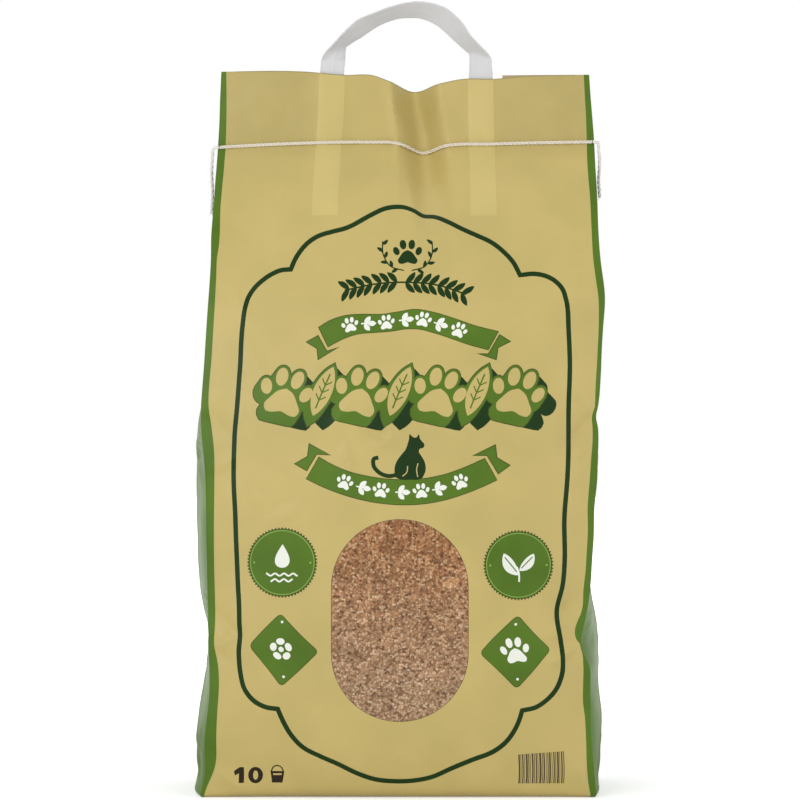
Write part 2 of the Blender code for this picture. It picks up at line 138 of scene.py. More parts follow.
# How far the paper's own edge runs inside the solid's front crease, by its share of the height
EDGE_TRIM = {
    -1: [
        (0.0, 0.0), (0.25, 0.0), (0.45, 0.0), (0.49, 0.0), (0.52, 0.0008), (0.547, 0.0017), (0.603, 0.0022),
        (0.672, 0.0019), (0.741, 0.0017), (0.767, 0.0015), (0.795, 0.0025), (0.81, 0.0030), (0.823, 0.0033),
        (0.845, 0.0031), (0.865, 0.0027), (0.90, 0.0021), (0.93, 0.0019), (0.963, 0.0012), (1.0, 0.0006),
    ],
    1: [
        (0.0, 0.0), (0.10, 0.0), (0.15, 0.0), (0.18, -0.0014), (0.207, 0.0004), (0.235, -0.0014),
        (0.285, -0.0003), (0.327, 0.0003), (0.354, 0.0002), (0.396, 0.0008), (0.437, -0.0006),
        (0.465, -0.0007), (0.487, -0.0009), (0.506, -0.0003), (0.52, 0.0013), (0.534, 0.0004),
        (0.547, 0.0001), (0.565, 0.0003), (0.612, 0.0012), (0.640, 0.0012), (0.685, 0.0004),
        (0.731, 0.0017), (0.778, 0.0020), (0.823, 0.0018), (0.869, 0.0019), (0.90, 0.0016), (0.93, 0.0014),
        (0.965, 0.0010), (1.0, 0.0004),
    ],
}

# How far a gusset's paper lies inside its solid face, by its share of the height
GUSSET_TRIM = {
    -1: [
        (0.0, 0.0), (0.15, 0.0), (0.20, -0.0005), (0.26, -0.0012), (0.33, -0.0002), (0.41, 0.0011),
        (0.47, 0.0010), (0.53, 0.0005), (0.60, 0.0), (0.70, 0.0), (1.0, 0.0),
    ],
    1: [
        (0.0, 0.0010), (0.036, 0.0003), (0.064, -0.0008), (0.097, -0.0026), (0.120, -0.0017),
        (0.148, 0.0001), (0.172, 0.0018), (0.190, 0.0011), (0.209, -0.0015), (0.226, -0.0002),
        (0.244, 0.0014), (0.265, 0.0024), (0.30, 0.0018), (0.36, 0.0010), (0.45, 0.0), (0.52, 0.0),
        (1.0, 0.0),
    ],
}

# The strap and the seam, in metres, as in the solids
STRAP_WIDTH = 0.0155
STRAP_THICKNESS = 0.0009
STRAP_INSET = {-1: 0.0085, 1: 0.0067}
STRAP_SPREAD = {-1: 0.004, 1: 0.0013}
STRAP_TAIL = 0.046
CHAIN_RADIUS = 0.00125
NEEDLE_RADIUS = 0.0007
STITCH = 0.0082
TAIL_RADIUS = 0.0011
TAIL_LENGTH = {-1: 0.043, 1: 0.036}
TAIL_BEND = 0.006
TAIL_CLEARANCE = 0.0006
GAP = 0.0003

# The loop's outer and inner edges as seen from the front, in millimetres across and up
LOOP_EDGES = [
    ((-52.0, 464.4), (-36.3, 464.4)), ((-51.7, 469.1), (-35.8, 469.1)), ((-50.4, 474.6), (-35.5, 474.9)),
    ((-47.8, 478.2), (-35.4, 479.5)), ((-44.2, 481.8), (-35.0, 482.0)), ((-40.3, 486.0), (-32.8, 483.7)),
    ((-36.7, 489.9), (-29.2, 486.0)), ((-32.5, 494.1), (-24.7, 488.6)), ((-28.0, 498.0), (-20.5, 491.5)),
    ((-21.5, 501.1), (-13.9, 495.8)), ((-13.7, 504.1), (-6.8, 498.9)), ((-5.9, 507.0), (0.3, 500.8)),
    ((2.6, 509.2), (5.9, 501.1)), ((11.7, 510.3), (11.7, 501.0)), ((20.8, 509.3), (17.6, 499.4)),
    ((29.9, 506.2), (24.4, 495.8)), ((35.8, 501.6), (29.9, 491.2)), ((41.0, 496.1), (34.5, 487.0)),
    ((45.5, 488.9), (39.3, 482.8)), ((51.4, 482.4), (43.2, 479.4)), ((58.9, 474.6), (45.1, 476.8)),
    ((59.6, 469.1), (45.2, 469.1)), ((60.2, 463.5), (44.9, 463.5)),
]

# How far a loose end's strands turn from one point of its route to the next, as an angle
TAIL_TWIST = 0.62

# A loose end's stray fibres: share of its length, reach and droop in millimetres
FIBRES = {
    -1: [
        (0.55, 2.4, 0.6), (0.80, 1.6, 2.0), (0.97, 1.2, 3.0), (0.99, 1.6, 2.4), (0.92, 1.4, 1.8),
    ],
    1: [
        (0.30, 1.8, 1.6), (0.50, 2.0, 1.0), (0.68, 1.8, 2.2), (0.85, 2.2, 1.6), (0.97, 1.4, 3.2),
        (0.99, 1.2, 2.6),
    ],
}

# Paper, in metres. A bottom flap's tip lies FLAP_TIP from the middle, and its edges run FLAP_REACH on
PLY = 0.00035
EDGE_ZONE = 0.007
MOUTH_DEPTH = 0.040
CREASE_ROUNDNESS = 0.00028
FLAP_TIP = 0.052
FLAP_REACH = 0.045

# Mesh and texture space, in millimetres and columns
SEAM_V = SEAM_HEIGHT / MM  # the seam and the mouth as places up the paper
TOP_V = HEIGHT / MM
GRID = 2.2  # millimetres between the points of the front panel
CLEAR_OF_LINES = 0.85  # the least distance from a free point to a printed line, in millimetres
ROW_STEP = 3.0
FOOT_ROWS = [0.0, 0.35, 0.9, 1.7, 2.8, 4.2, 5.8, 7.6, 10.0]
FRONT_COLUMNS = 100
BACK_COLUMNS = 72
GUSSET_COLUMNS = 24
ATLAS = 780.0  # millimetres across the sack's texture space
GUSSET_SPREAD = 112.0  # millimetres of texture space across a gusset
PLACE = {"front": (132, 6), "back": (396, 6), -1: (586, 6), 1: (706, 6), "base": (135, 620), "rim": (6, 700)}

# A panel's unevenness: depth and size of the lumps in millimetres, and the seed of each kind
PANEL_NOISE = [(1.05, 70, 1.3), (0.55, 26, 4.1), (0.13, 9, 7.7)]

# Folds and dents: start, end, height and half width in millimetres
FRONT_FOLDS = [
    ((-66, 404), (-92, 372), 0.7, 5), ((-40, 408), (-52, 352), 0.35, 4), ((72, 410), (98, 366), 0.6, 5),
    ((2, 410), (8, 345), 0.6, 3.5), ((24, 405), (30, 330), -0.5, 4), ((44, 404), (60, 360), 0.4, 5),
    ((-118, 122), (-96, 100), -0.9, 4), ((-119, 92), (-98, 104), 0.6, 3), ((113, 128), (98, 108), -1.0, 4),
    ((113, 92), (99, 108), 0.6, 3), ((124, 244), (104, 222), -1.1, 3), ((-122, 246), (-105, 226), -0.6, 4),
    ((-121, 206), (-103, 216), 0.6, 3), ((122, 196), (106, 206), 0.5, 3),
    ((122, 238), (108, 252), 0.9, 2.6), ((121, 226), (109, 214), 0.8, 2.6),
    ((-40, 226), (-14, 236), 0.35, 4), ((-48, 214), (-30, 232), -0.3, 3), ((-10, 236), (14, 224), 0.3, 4),
    ((-118, 18), (-96, 4), 0.8, 3), ((112, 20), (121, 3), 0.9, 3), ((-122, 40), (-112, 16), -0.5, 3),
    ((-30, 30), (40, 24), 0.3, 8), ((-112, 330), (-98, 300), 0.4, 4), ((112, 340), (102, 300), 0.35, 4),
    ((-36, 226), (-30, 204), 0.9, 2.5), ((-26, 236), (-6, 226), -0.8, 2.5),
    ((-16, 222), (0, 230), 0.8, 2.5), ((-94, 192), (-80, 182), 0.5, 2.5),
    ((-80, 184), (-66, 190), -0.4, 2.5), ((-10, 470), (-3, 376), 1.0, 2.4), ((46, 455), (56, 425), 0.3, 6),
    ((-100, 455), (-92, 425), 0.35, 6), ((-74, 448), (-80, 424), -0.3, 6), ((88, 395), (70, 368), 0.45, 4),
    ((-20, 402), (-30, 372), 0.35, 4), ((100, 40), (86, 12), 0.4, 5), ((-70, 30), (-52, 6), 0.35, 6),
    ((20, 44), (60, 20), 0.3, 6), ((96, 150), (104, 120), 0.5, 3), ((96, 92), (112, 74), 0.5, 3),
    ((113, 100), (94, 116), 1.1, 2.4), ((113, 98), (92, 99), -1.0, 2.6), ((113, 96), (95, 84), 1.1, 2.4),
    ((-118, 98), (-104, 108), 0.6, 2.4), ((-118, 96), (-104, 86), -0.6, 2.4),
    ((-118, 438), (-96, 444), 0.35, 4), ((112, 440), (92, 446), 0.35, 4), ((-60, 412), (-84, 396), 0.45, 3),
    ((-30, 250), (-44, 232), 0.35, 3), ((30, 236), (44, 222), 0.35, 3), ((-96, 284), (-84, 262), 0.4, 4),
    ((96, 290), (84, 268), 0.4, 4), ((-88, 176), (-62, 182), 0.35, 3),
]
BACK_FOLDS = [
    ((-80, 404), (-96, 366), 0.5, 4), ((60, 408), (84, 362), 0.5, 5), ((14, 404), (22, 340), -0.5, 4),
    ((-20, 406), (-34, 352), 0.4, 4), ((110, 128), (92, 104), -0.7, 4), ((108, 90), (92, 102), 0.5, 3),
    ((-112, 120), (-92, 100), -0.6, 4), ((100, 250), (80, 222), 0.5, 4), ((-20, 210), (16, 224), 0.3, 4),
    ((-100, 30), (-80, 6), 0.6, 4), ((98, 32), (112, 6), 0.6, 4), ((40, 160), (20, 130), 0.3, 5),
]
GUSSET_FOLDS = {
    -1: [
        ((-40, 196), (-6, 232), 1.1, 4), ((-44, 232), (-8, 196), -0.9, 4),
        ((-46, 102), (-10, 128), -1.2, 4), ((-46, 102), (-12, 76), 1.2, 4), ((-40, 44), (-12, 22), 1.0, 4),
        ((30, 150), (8, 186), 0.9, 4), ((44, 96), (14, 118), -1.0, 4), ((40, 250), (16, 216), 0.8, 4),
        ((-30, 8), (0, 34), 1.2, 3), ((30, 8), (0, 34), 1.2, 3),
    ],
    1: [
        ((-46, 100), (-14, 132), 0.6, 4), ((-46, 104), (-14, 80), -0.4, 4), ((-38, 60), (-10, 84), 0.4, 4),
        ((-44, 206), (-12, 240), 1.0, 4), ((-42, 236), (-16, 206), -0.9, 4), ((36, 120), (10, 90), 1.0, 4),
        ((40, 190), (12, 220), 0.9, 4), ((42, 40), (14, 60), -0.9, 4), ((-30, 8), (0, 34), 1.2, 3),
        ((30, 8), (0, 34), 1.2, 3),
    ],
}
SIDE_SEAM = -58.0  # the u where one edge of the paper is glued over the other, down the back

# Inks, papers and the strap, as linear colours
CREAM = (0.525, 0.418, 0.150)
PALE = (0.575, 0.465, 0.174)
LEAF = (0.082, 0.160, 0.013)
DARK = (0.0070, 0.0300, 0.0030)
OLIVE = (0.050, 0.072, 0.010)
LIGHT = (0.240, 0.400, 0.080)
WHITE = (0.820, 0.840, 0.760)
BLACK = (0.020, 0.014, 0.006)
BARS = (0.080, 0.058, 0.034)
# A darker line along the front paper's cut top edge: partly the print's edge, partly painted shade.
CUT_EDGE_AND_SHADE = (0.300, 0.250, 0.110)
GUSSET_GREEN = (0.090, 0.176, 0.014)
RAW = (0.44, 0.36, 0.22)
STRAP_DARK = (0.600, 0.597, 0.602)
STRAP_LIGHT = (0.655, 0.651, 0.657)

# The tones of the printed litter's crumbs, high and low in its window
HIGH_CRUMBS = [
    (0.0, (0.150, 0.055, 0.020)), (1.0, (0.70, 0.45, 0.25)), (0.25, (0.35, 0.145, 0.055)),
    (0.55, (0.46, 0.210, 0.085)), (0.82, (0.60, 0.32, 0.145)),
]
LOW_CRUMBS = [
    (0.0, (0.190, 0.100, 0.050)), (1.0, (0.74, 0.55, 0.37)), (0.25, (0.39, 0.225, 0.120)),
    (0.55, (0.50, 0.305, 0.170)), (0.82, (0.63, 0.41, 0.245)),
]

# Print on the front panel, in millimetres
INKS = ["cream", "pale", "leaf", "dark", "olive", "light", "white", "black", "bars", "cut_edge_and_shade", "grain"]
BORDER_WIDTH = 3.0
BORDER_TOP = [
    (-73.4, 335.2), (-70.3, 342.3), (-66.4, 348.2), (-62.0, 352.8), (-57.0, 356.2), (-46.3, 359.8),
    (-38.0, 362.0), (-33.0, 364.2), (-26.5, 367.9), (-19.8, 371.5), (-13.6, 374.4), (-6.2, 376.0),
    (0.3, 376.2), (6.1, 374.6), (11.8, 371.3), (18.8, 370.4), (27.7, 366.4), (35.8, 361.9), (45.2, 357.5),
    (55.3, 352.5), (62.7, 346.4), (68.6, 339.5), (72.6, 331.5),
]
BORDER_RIGHT = [
    (72.6, 331.5), (82.2, 332.3), (89.2, 330.9), (95.1, 327.6), (99.6, 322.6), (102.0, 315.7),
    (104.4, 296.6), (107.0, 265.0), (107.1, 233.3), (105.2, 203.0), (103.4, 178.4), (104.2, 151.1),
    (103.6, 136.6), (101.2, 118.5), (102.2, 112.6), (104.8, 100.0), (104.8, 90.0), (102.4, 77.5),
    (98.5, 69.2), (92.2, 62.3), (86.0, 58.2), (77.4, 56.2),
]
BORDER_BOTTOM = [
    (77.4, 56.2), (76.2, 51.0), (73.6, 44.2), (68.4, 36.6), (60.4, 30.5), (46.4, 25.0), (32.9, 19.4),
    (19.7, 13.6), (8.0, 11.4), (-3.3, 11.1), (-15.5, 12.4), (-26.6, 16.2), (-39.0, 22.4), (-49.6, 27.2),
    (-60.0, 32.8), (-67.4, 40.6), (-72.6, 48.8), (-76.8, 57.2),
]
BORDER_LEFT = [
    (-76.8, 57.2), (-84.2, 58.2), (-92.4, 62.4), (-98.3, 70.0), (-100.1, 79.0), (-99.4, 92.0),
    (-97.6, 103.0), (-98.6, 113.0), (-101.3, 133.0), (-103.0, 154.7), (-104.4, 178.0), (-105.6, 204.0),
    (-104.2, 228.0), (-102.2, 248.0), (-102.1, 270.0), (-102.5, 300.0), (-101.8, 309.8), (-99.8, 317.6),
    (-96.0, 323.6), (-91.0, 328.4), (-85.2, 332.3), (-79.4, 334.7), (-73.4, 335.2),
]
RIBBON_UP_TOP = [
    (-54.5, 298.1), (-47.3, 302.6), (-38.5, 305.6), (-26.8, 306.6), (-13.9, 306.6), (-5.0, 308.0),
    (6.6, 309.7), (18.3, 307.8), (31.4, 303.9), (44.6, 299.4), (60.3, 295.5),
]
RIBBON_UP_BOTTOM = [
    (-47.4, 285.1), (-38.7, 290.0), (-29.5, 293.3), (-18.0, 294.4), (-8.0, 295.2), (1.0, 296.6),
    (9.0, 296.6), (19.1, 294.2), (32.3, 289.9), (42.8, 286.4), (54.3, 283.4),
]
RIBBON_UP_TAILS = [
    [(-54.0, 292.9), (-61.4, 288.7), (-54.2, 284.5), (-53.0, 277.4), (-39.7, 285.7), (-47.8, 283.0)],
    [(60.7, 293.5), (68.0, 289.0), (60.3, 285.1), (59.6, 277.4), (47.0, 281.4), (54.3, 281.2)],
]
RIBBON_LOW_TOP = [
    (-51.4, 216.5), (-43.5, 211.9), (-33.3, 207.5), (-21.6, 204.5), (-10.3, 202.8), (1.5, 202.2),
    (14.3, 202.9), (27.2, 205.4), (40.2, 209.9), (53.2, 215.6),
]
RIBBON_LOW_BOTTOM = [
    (-59.9, 202.2), (-49.9, 197.3), (-37.1, 192.4), (-24.2, 188.8), (-11.4, 186.6), (1.5, 185.8),
    (14.3, 186.4), (27.1, 188.7), (39.9, 192.6), (50.2, 196.6), (60.8, 201.5),
]
RIBBON_LOW_TAILS = [
    [(-43.7, 217.2), (-57.1, 224.6), (-58.5, 216.5), (-66.9, 211.8), (-59.2, 207.4), (-52.6, 217.8)],
    [(45.5, 217.0), (60.3, 223.9), (60.9, 215.8), (69.0, 210.9), (61.3, 205.4), (54.6, 217.0)],
]
WINDOW = (2.7, 113.2, 43.0, 63.6)  # middle, half width and half height
SEALS = {"left": (-74.0, 149.6, 22.2), "right": (74.9, 147.9, 22.2)}
SEAL_TEETH = 64
DIAMONDS = {
    "left": [(-73.0, 118.0), (-92.4, 96.9), (-74.9, 71.0), (-48.2, 93.7)],
    "right": [(76.7, 116.8), (52.4, 92.6), (73.5, 69.6), (98.2, 94.6)],
}
CAT_BODY = [
    (13.6, 203.0), (15.6, 207.5), (15.4, 212.5), (13.2, 217.0), (11.8, 219.6), (12.4, 221.2), (14.8, 222.0),
    (15.6, 223.8), (14.2, 226.0), (13.0, 227.4), (12.4, 230.4), (10.6, 228.4), (8.6, 228.6), (6.6, 230.6),
    (6.0, 227.6), (5.0, 224.4), (3.6, 221.0), (0.6, 217.4), (-2.6, 213.0), (-4.0, 207.6), (-3.2, 203.4),
    (1.0, 201.9), (6.0, 202.0), (10.0, 201.8), (13.6, 203.0),
]
CAT_TAIL = [(-2.0, 205.0), (-8.0, 204.2), (-13.6, 206.4), (-17.0, 210.8), (-16.6, 215.0), (-13.8, 215.8)]
FIGURE_ONE = [
    (-104.8, 17.2), (-101.0, 19.8), (-98.3, 19.8), (-98.3, 9.6), (-101.6, 9.6), (-101.6, 15.8),
    (-104.1, 14.4),
]
BAR_WIDTHS = (
    1.0, 0.4, 0.8, 0.4, 1.2, 0.6, 0.4, 1.0, 0.5, 0.8, 0.4, 1.3, 0.5, 0.9, 0.4, 0.6, 1.1, 0.4, 0.8, 0.5, 1.2,
    0.4, 0.9, 0.6,
)
BAR_GAPS = (
    0.4, 0.6, 0.4, 0.7, 0.4, 0.5, 0.8, 0.4, 0.6, 0.4, 0.7, 0.5, 0.4, 0.8, 0.5, 0.4, 0.6, 0.7, 0.4, 0.6, 0.4,
    0.7, 0.5, 0.4,
)

# The width of the green edge strips, by v
STRIP_WIDTHS = {
    -1: [
        (0, 2.4), (7, 3.0), (22, 6.6), (60, 5.8), (86, 5.2), (97, 3.4), (110, 4.2), (150, 4.5), (200, 5.5),
        (226, 6.9), (236, 6.8), (247, 5.9), (262, 6.0), (280, 6.5), (300, 6.3), (312, 6.0), (330, 5.4),
        (344, 5.2), (350, 6.2), (356, 6.7), (369, 7.2), (388, 7.7), (410, 7.1), (432, 6.2), (464, 3.2),
    ],
    1: [
        (0, 3.4), (8, 4.2), (24, 4.0), (36, 3.3), (51, 3.6), (62, 4.8), (72, 4.3), (80, 3.6), (86, 2.6),
        (91.5, 0.8), (98, 0.7), (100.6, 2.8), (104.5, 4.0), (111, 3.9), (117, 2.9), (122, 2.9), (130, 3.8),
        (145, 3.7), (158, 3.8), (171, 4.0), (184, 4.8), (193, 4.6), (203, 4.2), (216, 3.6), (226, 3.2),
        (236, 3.1), (241, 2.9), (248, 2.0), (254, 2.5), (262, 2.85), (284, 2.9), (297, 3.1), (307, 3.7),
        (318, 4.35), (330, 5.5), (339, 6.1), (361, 6.1), (382, 6.2), (395, 6.7), (403, 6.8), (421, 5.9),
        (440, 4.6), (464, 3.4),
    ],
}

# The title's shadow, rim and body: ink, how much wider than the row, and the two ends of its depth
TITLE_DEPTHS = [
    ("dark", 1.2, (2.2, -3.0), (6.6, -7.4)),
    ("olive", 2.0, (0, 0), (-3.0, -4.6)),
    ("leaf", 1.45, (0, 0), (-3.0, -4.6)),
]

# A paw's pad and toes, in shares of its size
PAW_PAD = [
    (0, 0.10), (-0.15, 0.03), (-0.29, -0.15), (-0.37, -0.30), (-0.31, -0.42), (-0.16, -0.42), (0, -0.37),
    (0.16, -0.42), (0.31, -0.42), (0.37, -0.30), (0.29, -0.15), (0.15, 0.03), (0, 0.10),
]
PAW_TOES = [
    (-0.42, 0.06, 0.115, 0.165, 0.40), (-0.165, 0.31, 0.125, 0.185, 0.12),
    (0.165, 0.31, 0.125, 0.185, -0.12), (0.42, 0.06, 0.115, 0.165, -0.40),
]

# The stage, in metres: lamps with their places, sizes and powers, the camera, and the floor
WORLD_LIGHT = 0.52
LAMPS = [
    ("key_lamp", (-1.2, -2.2, 0.95), (1.3, 1.0), 23.5),
    ("fill_lamp", (1.6, -1.8, 0.7), (1.2, 1.2), 9.5),
    ("top_lamp", (0.0, 0.2, 2.2), (1.6, 1.2), 10.0),
]
LAMP_AIM = 0.24
SENSOR = 36  # millimetres across the camera's sensor
CAMERA_DISTANCE = 2.0
CAMERA_HEIGHT = 0.252
VIEW_WIDTH = 0.52  # what the camera sees across at its distance
FLOOR_HALF_WIDTH = 6


def through(points, at):
    """A smooth curve through a few points."""
    known, value = np.array(points, float).T
    slope = np.gradient(value, known)
    i = np.clip(np.searchsorted(known, at) - 1, 0, len(known) - 2)
    step = known[i + 1] - known[i]
    t = np.clip((at - known[i]) / step, 0, 1)
    start = (1 + 2 * t) * (1 - t) ** 2 * value[i] + t * (1 - t) ** 2 * step * slope[i]
    end = t * t * (3 - 2 * t) * value[i + 1] + t * t * (t - 1) * step * slope[i + 1]
    return start + end


def ease(low, high, at):
    """0 below low, 1 above high, and a soft step between them."""
    t = np.clip((at - low) / (high - low), 0.0, 1.0)
    return t * t * (3 - 2 * t)


def rounding(radius, height):
    below = np.clip(radius - height, 0.0, radius)
    return radius - np.sqrt(radius * radius - below * below)


def crease_x(side, height):
    offset = through(CREASE_OFFSET[side], height / HEIGHT)
    return side * (PANEL_WIDTH / 2 + offset - rounding(CREASE_RADIUS, height))


def trim(side, height):
    """How far inside the solid's crease the paper's own edge runs."""
    return through(EDGE_TRIM[side], height / HEIGHT)


def crease_half_depth(height):
    neck = NECK_THICKNESS / 2
    return neck + (CREASE_DEPTH / 2 - neck) * through(CREASE_PROFILE, np.minimum(height / SEAM_HEIGHT, 1.0))


def half_depth(across, height):
    bulge = PANEL_BULGE * through(BULGE_PROFILE, np.minimum(height / SEAM_HEIGHT, 1.0))
    bulge = bulge * (1 - np.abs(across) ** BULGE_POWER)
    radius = CREASE_RADIUS + (BOTTOM_RADIUS - CREASE_RADIUS) * (1 - across**4)
    return crease_half_depth(height) + bulge - rounding(radius, height)


def valley(side, x, height):
    """How far the valley fold pushes the paper back."""
    up = ease(SEAM_HEIGHT, HEIGHT, height)
    middle = VALLEY_SEAM + (VALLEY_TOP - VALLEY_SEAM) * up
    middle = middle + VALLEY_DRIFT * np.maximum(SEAM_HEIGHT - height, 0.0)
    depth = VALLEY_DEPTH_SEAM + (VALLEY_DEPTH_TOP - VALLEY_DEPTH_SEAM) * up
    depth = depth * ease(SEAM_HEIGHT - VALLEY_LENGTH[side], SEAM_HEIGHT, height)
    t = np.minimum(np.abs(x - middle) / VALLEY_HALF_WIDTH, 1.0)
    return depth * (1 + np.cos(math.pi * t)) / 2


def wave(x, height):
    grown = ease(WAVE_START, WAVE_END, height / SEAM_HEIGHT)
    return WAVE_DEPTH * grown * np.sin(2 * math.pi * x / WAVE_LENGTH + WAVE_PHASE)


def sag(x, height):
    seam = through(SEAM_SAG, x) * ease(SEAM_HEIGHT - VALLEY_LENGTH[-1], SEAM_HEIGHT, height)
    up = ease(SEAM_HEIGHT, HEIGHT, height)
    return seam * (1 - up) + through(EDGE_SAG, x) * up


def middle_x(height):
    return (crease_x(-1, height) + crease_x(1, height)) / 2


def half_width(height):
    return (crease_x(1, height) - crease_x(-1, height)) / 2


def smooth_panel(side, x, height):
    """The panel before its wrinkles: x, y and z at a place across it and a paper height."""
    across = np.clip((x - middle_x(height)) / half_width(height), -1, 1)
    y = side * half_depth(across, height) + valley(side, x, height) + wave(x, height)
    z = height + sag(x, height)
    half = half_width(height)
    for edge in (-1, 1):
        near = ease(half - EDGE_ZONE, half, edge * (x - middle_x(height)))
        x = x - edge * trim(edge, height) * near
    return np.stack([x, y, z], axis=-1)


def rough(u, v, size, seed):
    """Soft noise between about -1 and 1, with lumps of a size in millimetres."""
    places = zip(np.ravel(u) / size, np.ravel(v) / size)
    return np.array([noise.noise(Vector((a, b, seed))) for a, b in places])


def fold_lines(u, v, lines):
    """Ridges (up) and grooves (down) along short lines: start, end, height and half width in millimetres."""
    total = np.zeros(len(u))
    for (u0, v0), (u1, v1), height, width in lines:
        along = np.array([u1 - u0, v1 - v0])
        length = np.hypot(*along)
        t = ((u - u0) * along[0] + (v - v0) * along[1]) / length**2
        nearest = np.clip(t, 0, 1)
        gap = np.hypot(u - u0 - nearest * along[0], v - v0 - nearest * along[1])
        ends = np.sin(math.pi * np.clip(t, 0.02, 0.98)) ** 0.7
        total += height * np.exp(-np.abs(gap / width) ** 1.4) * ends
    return total


def from_crease(u, v):
    """How far inside a panel's nearer crease a place lies, in millimetres."""
    return half_width(v * MM) / MM - np.abs(u)


def away_from_edges(u, v):
    """1 on a panel, falling to 0 at its creases, at the bottom and at the mouth."""
    return ease(0.0, 9.0, from_crease(u, v)) * ease(0.0, 14.0, v) * ease(0.0, 8.0, TOP_V - v)


def uneven(u, v, seed):
    """The unevenness of a panel's paper, in millimetres."""
    return sum(depth * rough(u, v, size, seed + step) for depth, size, step in PANEL_NOISE)


def front_wrinkles(u, v):
    """How far the front paper stands out of its smooth shape, in metres; u and v in millimetres."""
    shoulder = 0.70 * rough(u, v * 0.35, 15, 9.2) * ease(330, 400, v)
    loose = (uneven(u, v, 0) + shoulder) * away_from_edges(u, v)
    folds = 2.1 * fold_lines(u, v, FRONT_FOLDS) * ease(0.0, 3.0, from_crease(u, v))
    pucker = -0.30 * np.exp(-(((v - SEAM_V) / 3.2) ** 2))
    pucker = pucker * (1 + 0.5 * np.cos(2 * math.pi * u / (STITCH / MM)))
    tails = 0.35 * strap_mask(u, v)
    return (loose + folds + pucker + tails) * MM


def fold_tip(side):
    return crease_x(side, HEIGHT) - side * GUSSET_FOLD


def strap_x(side):
    return fold_tip(side) - side * (STRAP_WIDTH / 2 + STRAP_INSET[side])


def tail_x(side, height):
    """The x of the middle of the strap's tail inside the front panel."""
    tip = SEAM_HEIGHT - STRAP_TAIL
    return strap_x(side) + side * STRAP_SPREAD[side] * (1 - ease(tip, HEIGHT, height))


def strap_mask(u, v):
    """1 over the strap's two tails behind the front paper, with soft edges."""
    height = v * MM
    x = u * MM + middle_x(height)
    mask = np.zeros(len(u))
    for side in (-1, 1):
        gap = (STRAP_WIDTH / 2 - np.abs(x - tail_x(side, height))) / MM
        mask = np.maximum(mask, ease(-1.2, 0.6, gap))
    tip = (SEAM_HEIGHT - STRAP_TAIL) / MM
    return mask * ease(tip - 1.2, tip + 0.8, v)


def front_point(u, v):
    """Places on the wrinkled front panel."""
    u, v = np.atleast_1d(u).astype(float), np.atleast_1d(v).astype(float)
    height = v * MM
    point = smooth_panel(-1, u * MM + middle_x(height), height)
    point[:, 1] -= front_wrinkles(u, v)
    return point


def back_point(u, v):
    """Places on the wrinkled back panel, with its glued side seam."""
    u, v = np.atleast_1d(u).astype(float), np.atleast_1d(v).astype(float)
    height = v * MM
    point = smooth_panel(1, u * MM + middle_x(height), height)
    loose = (uneven(u, v, 20) + 2.0 * fold_lines(u, v, BACK_FOLDS)) * away_from_edges(u, v)
    overlap = 0.7 * ease(SIDE_SEAM - 0.6, SIDE_SEAM + 0.6, u) * (1 - ease(SIDE_SEAM + 24, SIDE_SEAM + 44, u))
    sewn_flat = 1 - 0.9 * np.exp(-(((v - SEAM_V) / 4.5) ** 2))
    point[:, 1] += (loose + overlap) * sewn_flat * MM
    return point


def gusset_point(side, t, height):
    """Places on a gusset, t going from -1 at the front to 1 at the back."""
    t, height = np.atleast_1d(t).astype(float), np.atleast_1d(height).astype(float)
    edge = crease_x(side, height) - side * trim(side, height)
    depth = crease_half_depth(height) - rounding(CREASE_RADIUS, height) - LAYER
    depth = np.maximum(depth, NECK_THICKNESS / 2 - LAYER)
    folded = ease(SHOULDER_HEIGHT, SHOULDER_HEIGHT + FOLDING_HEIGHT, height)
    fold = np.sqrt(np.maximum(GUSSET_FOLD**2 - depth**2, 0.0))
    swell = through(SWELL[side], np.minimum(height / HEIGHT, SWELL[side][-1][0]))
    bow = GUSSET_BOW * depth * np.sin(math.pi * np.abs(t))
    out = (1 - folded) * swell * (1 - t * t) - folded * (fold * (1 - np.abs(t)) - bow)
    u, v = t * depth / MM, height / MM
    loose = (1 - np.abs(t) ** 6) * (1 - ease(0.36, 0.40, height)) * ease(0.0, 0.012, height)
    dents = 0.8 * rough(u, v, 48, 31.0 + side) + 0.40 * rough(u, v, 17, 34.0 + side)
    dents += 0.1 * rough(u, v, 7, 36.0)
    dents += 1.5 * fold_lines(u, v, GUSSET_FOLDS[side])
    dents += 1.2 * np.exp(-np.abs(u) / 2.4) * (1 - folded)
    inward = through(GUSSET_TRIM[side], height / HEIGHT) * (1 - t**4)
    x = edge + side * (out - inward + (dents - 1.7 * (1 - t * t)) * loose * MM)
    return np.stack([x, t * depth + wave(x, height), height + sag(edge, height)], axis=-1)


def spaced(points, gap, closed=False):
    """The same outline with its points at most a gap apart."""
    points = [np.array(p, float) for p in points]
    ends = points[1:] + points[:1] if closed else points[1:]
    out = []
    for a, b in zip(points, ends):
        count = max(1, math.ceil(np.hypot(*(b - a)) / gap))
        out += [a + (b - a) * i / count for i in range(count)]
    return np.array(out if closed else [*out, points[-1]])


def run(points):
    """How far along a line each of its points lies."""
    return np.concatenate([[0], np.cumsum(np.hypot.reduce(np.diff(points, axis=0), axis=1))])


def threaded(known, points, at):
    """Places on a smooth curve through points that lie at known distances along it."""
    return np.stack([through(list(zip(known, column)), at) for column in np.transpose(points)], axis=1)


def unit(rows):
    """Each row of an array as a direction."""
    return rows / np.linalg.norm(rows, axis=1)[:, None]


def sampled(line, at):
    """Places on a line at whole and broken numbers of its points."""
    low = np.minimum(np.floor(at).astype(int), len(line) - 2)
    return line[low] + (line[low + 1] - line[low]) * (at - low)[:, None]


def curve(points, gap=1.6):
    """A smooth open line through a few points."""
    along = run(points)
    steps = np.linspace(0, along[-1], max(2, math.ceil(along[-1] / gap)) + 1)
    return threaded(along, points, steps)


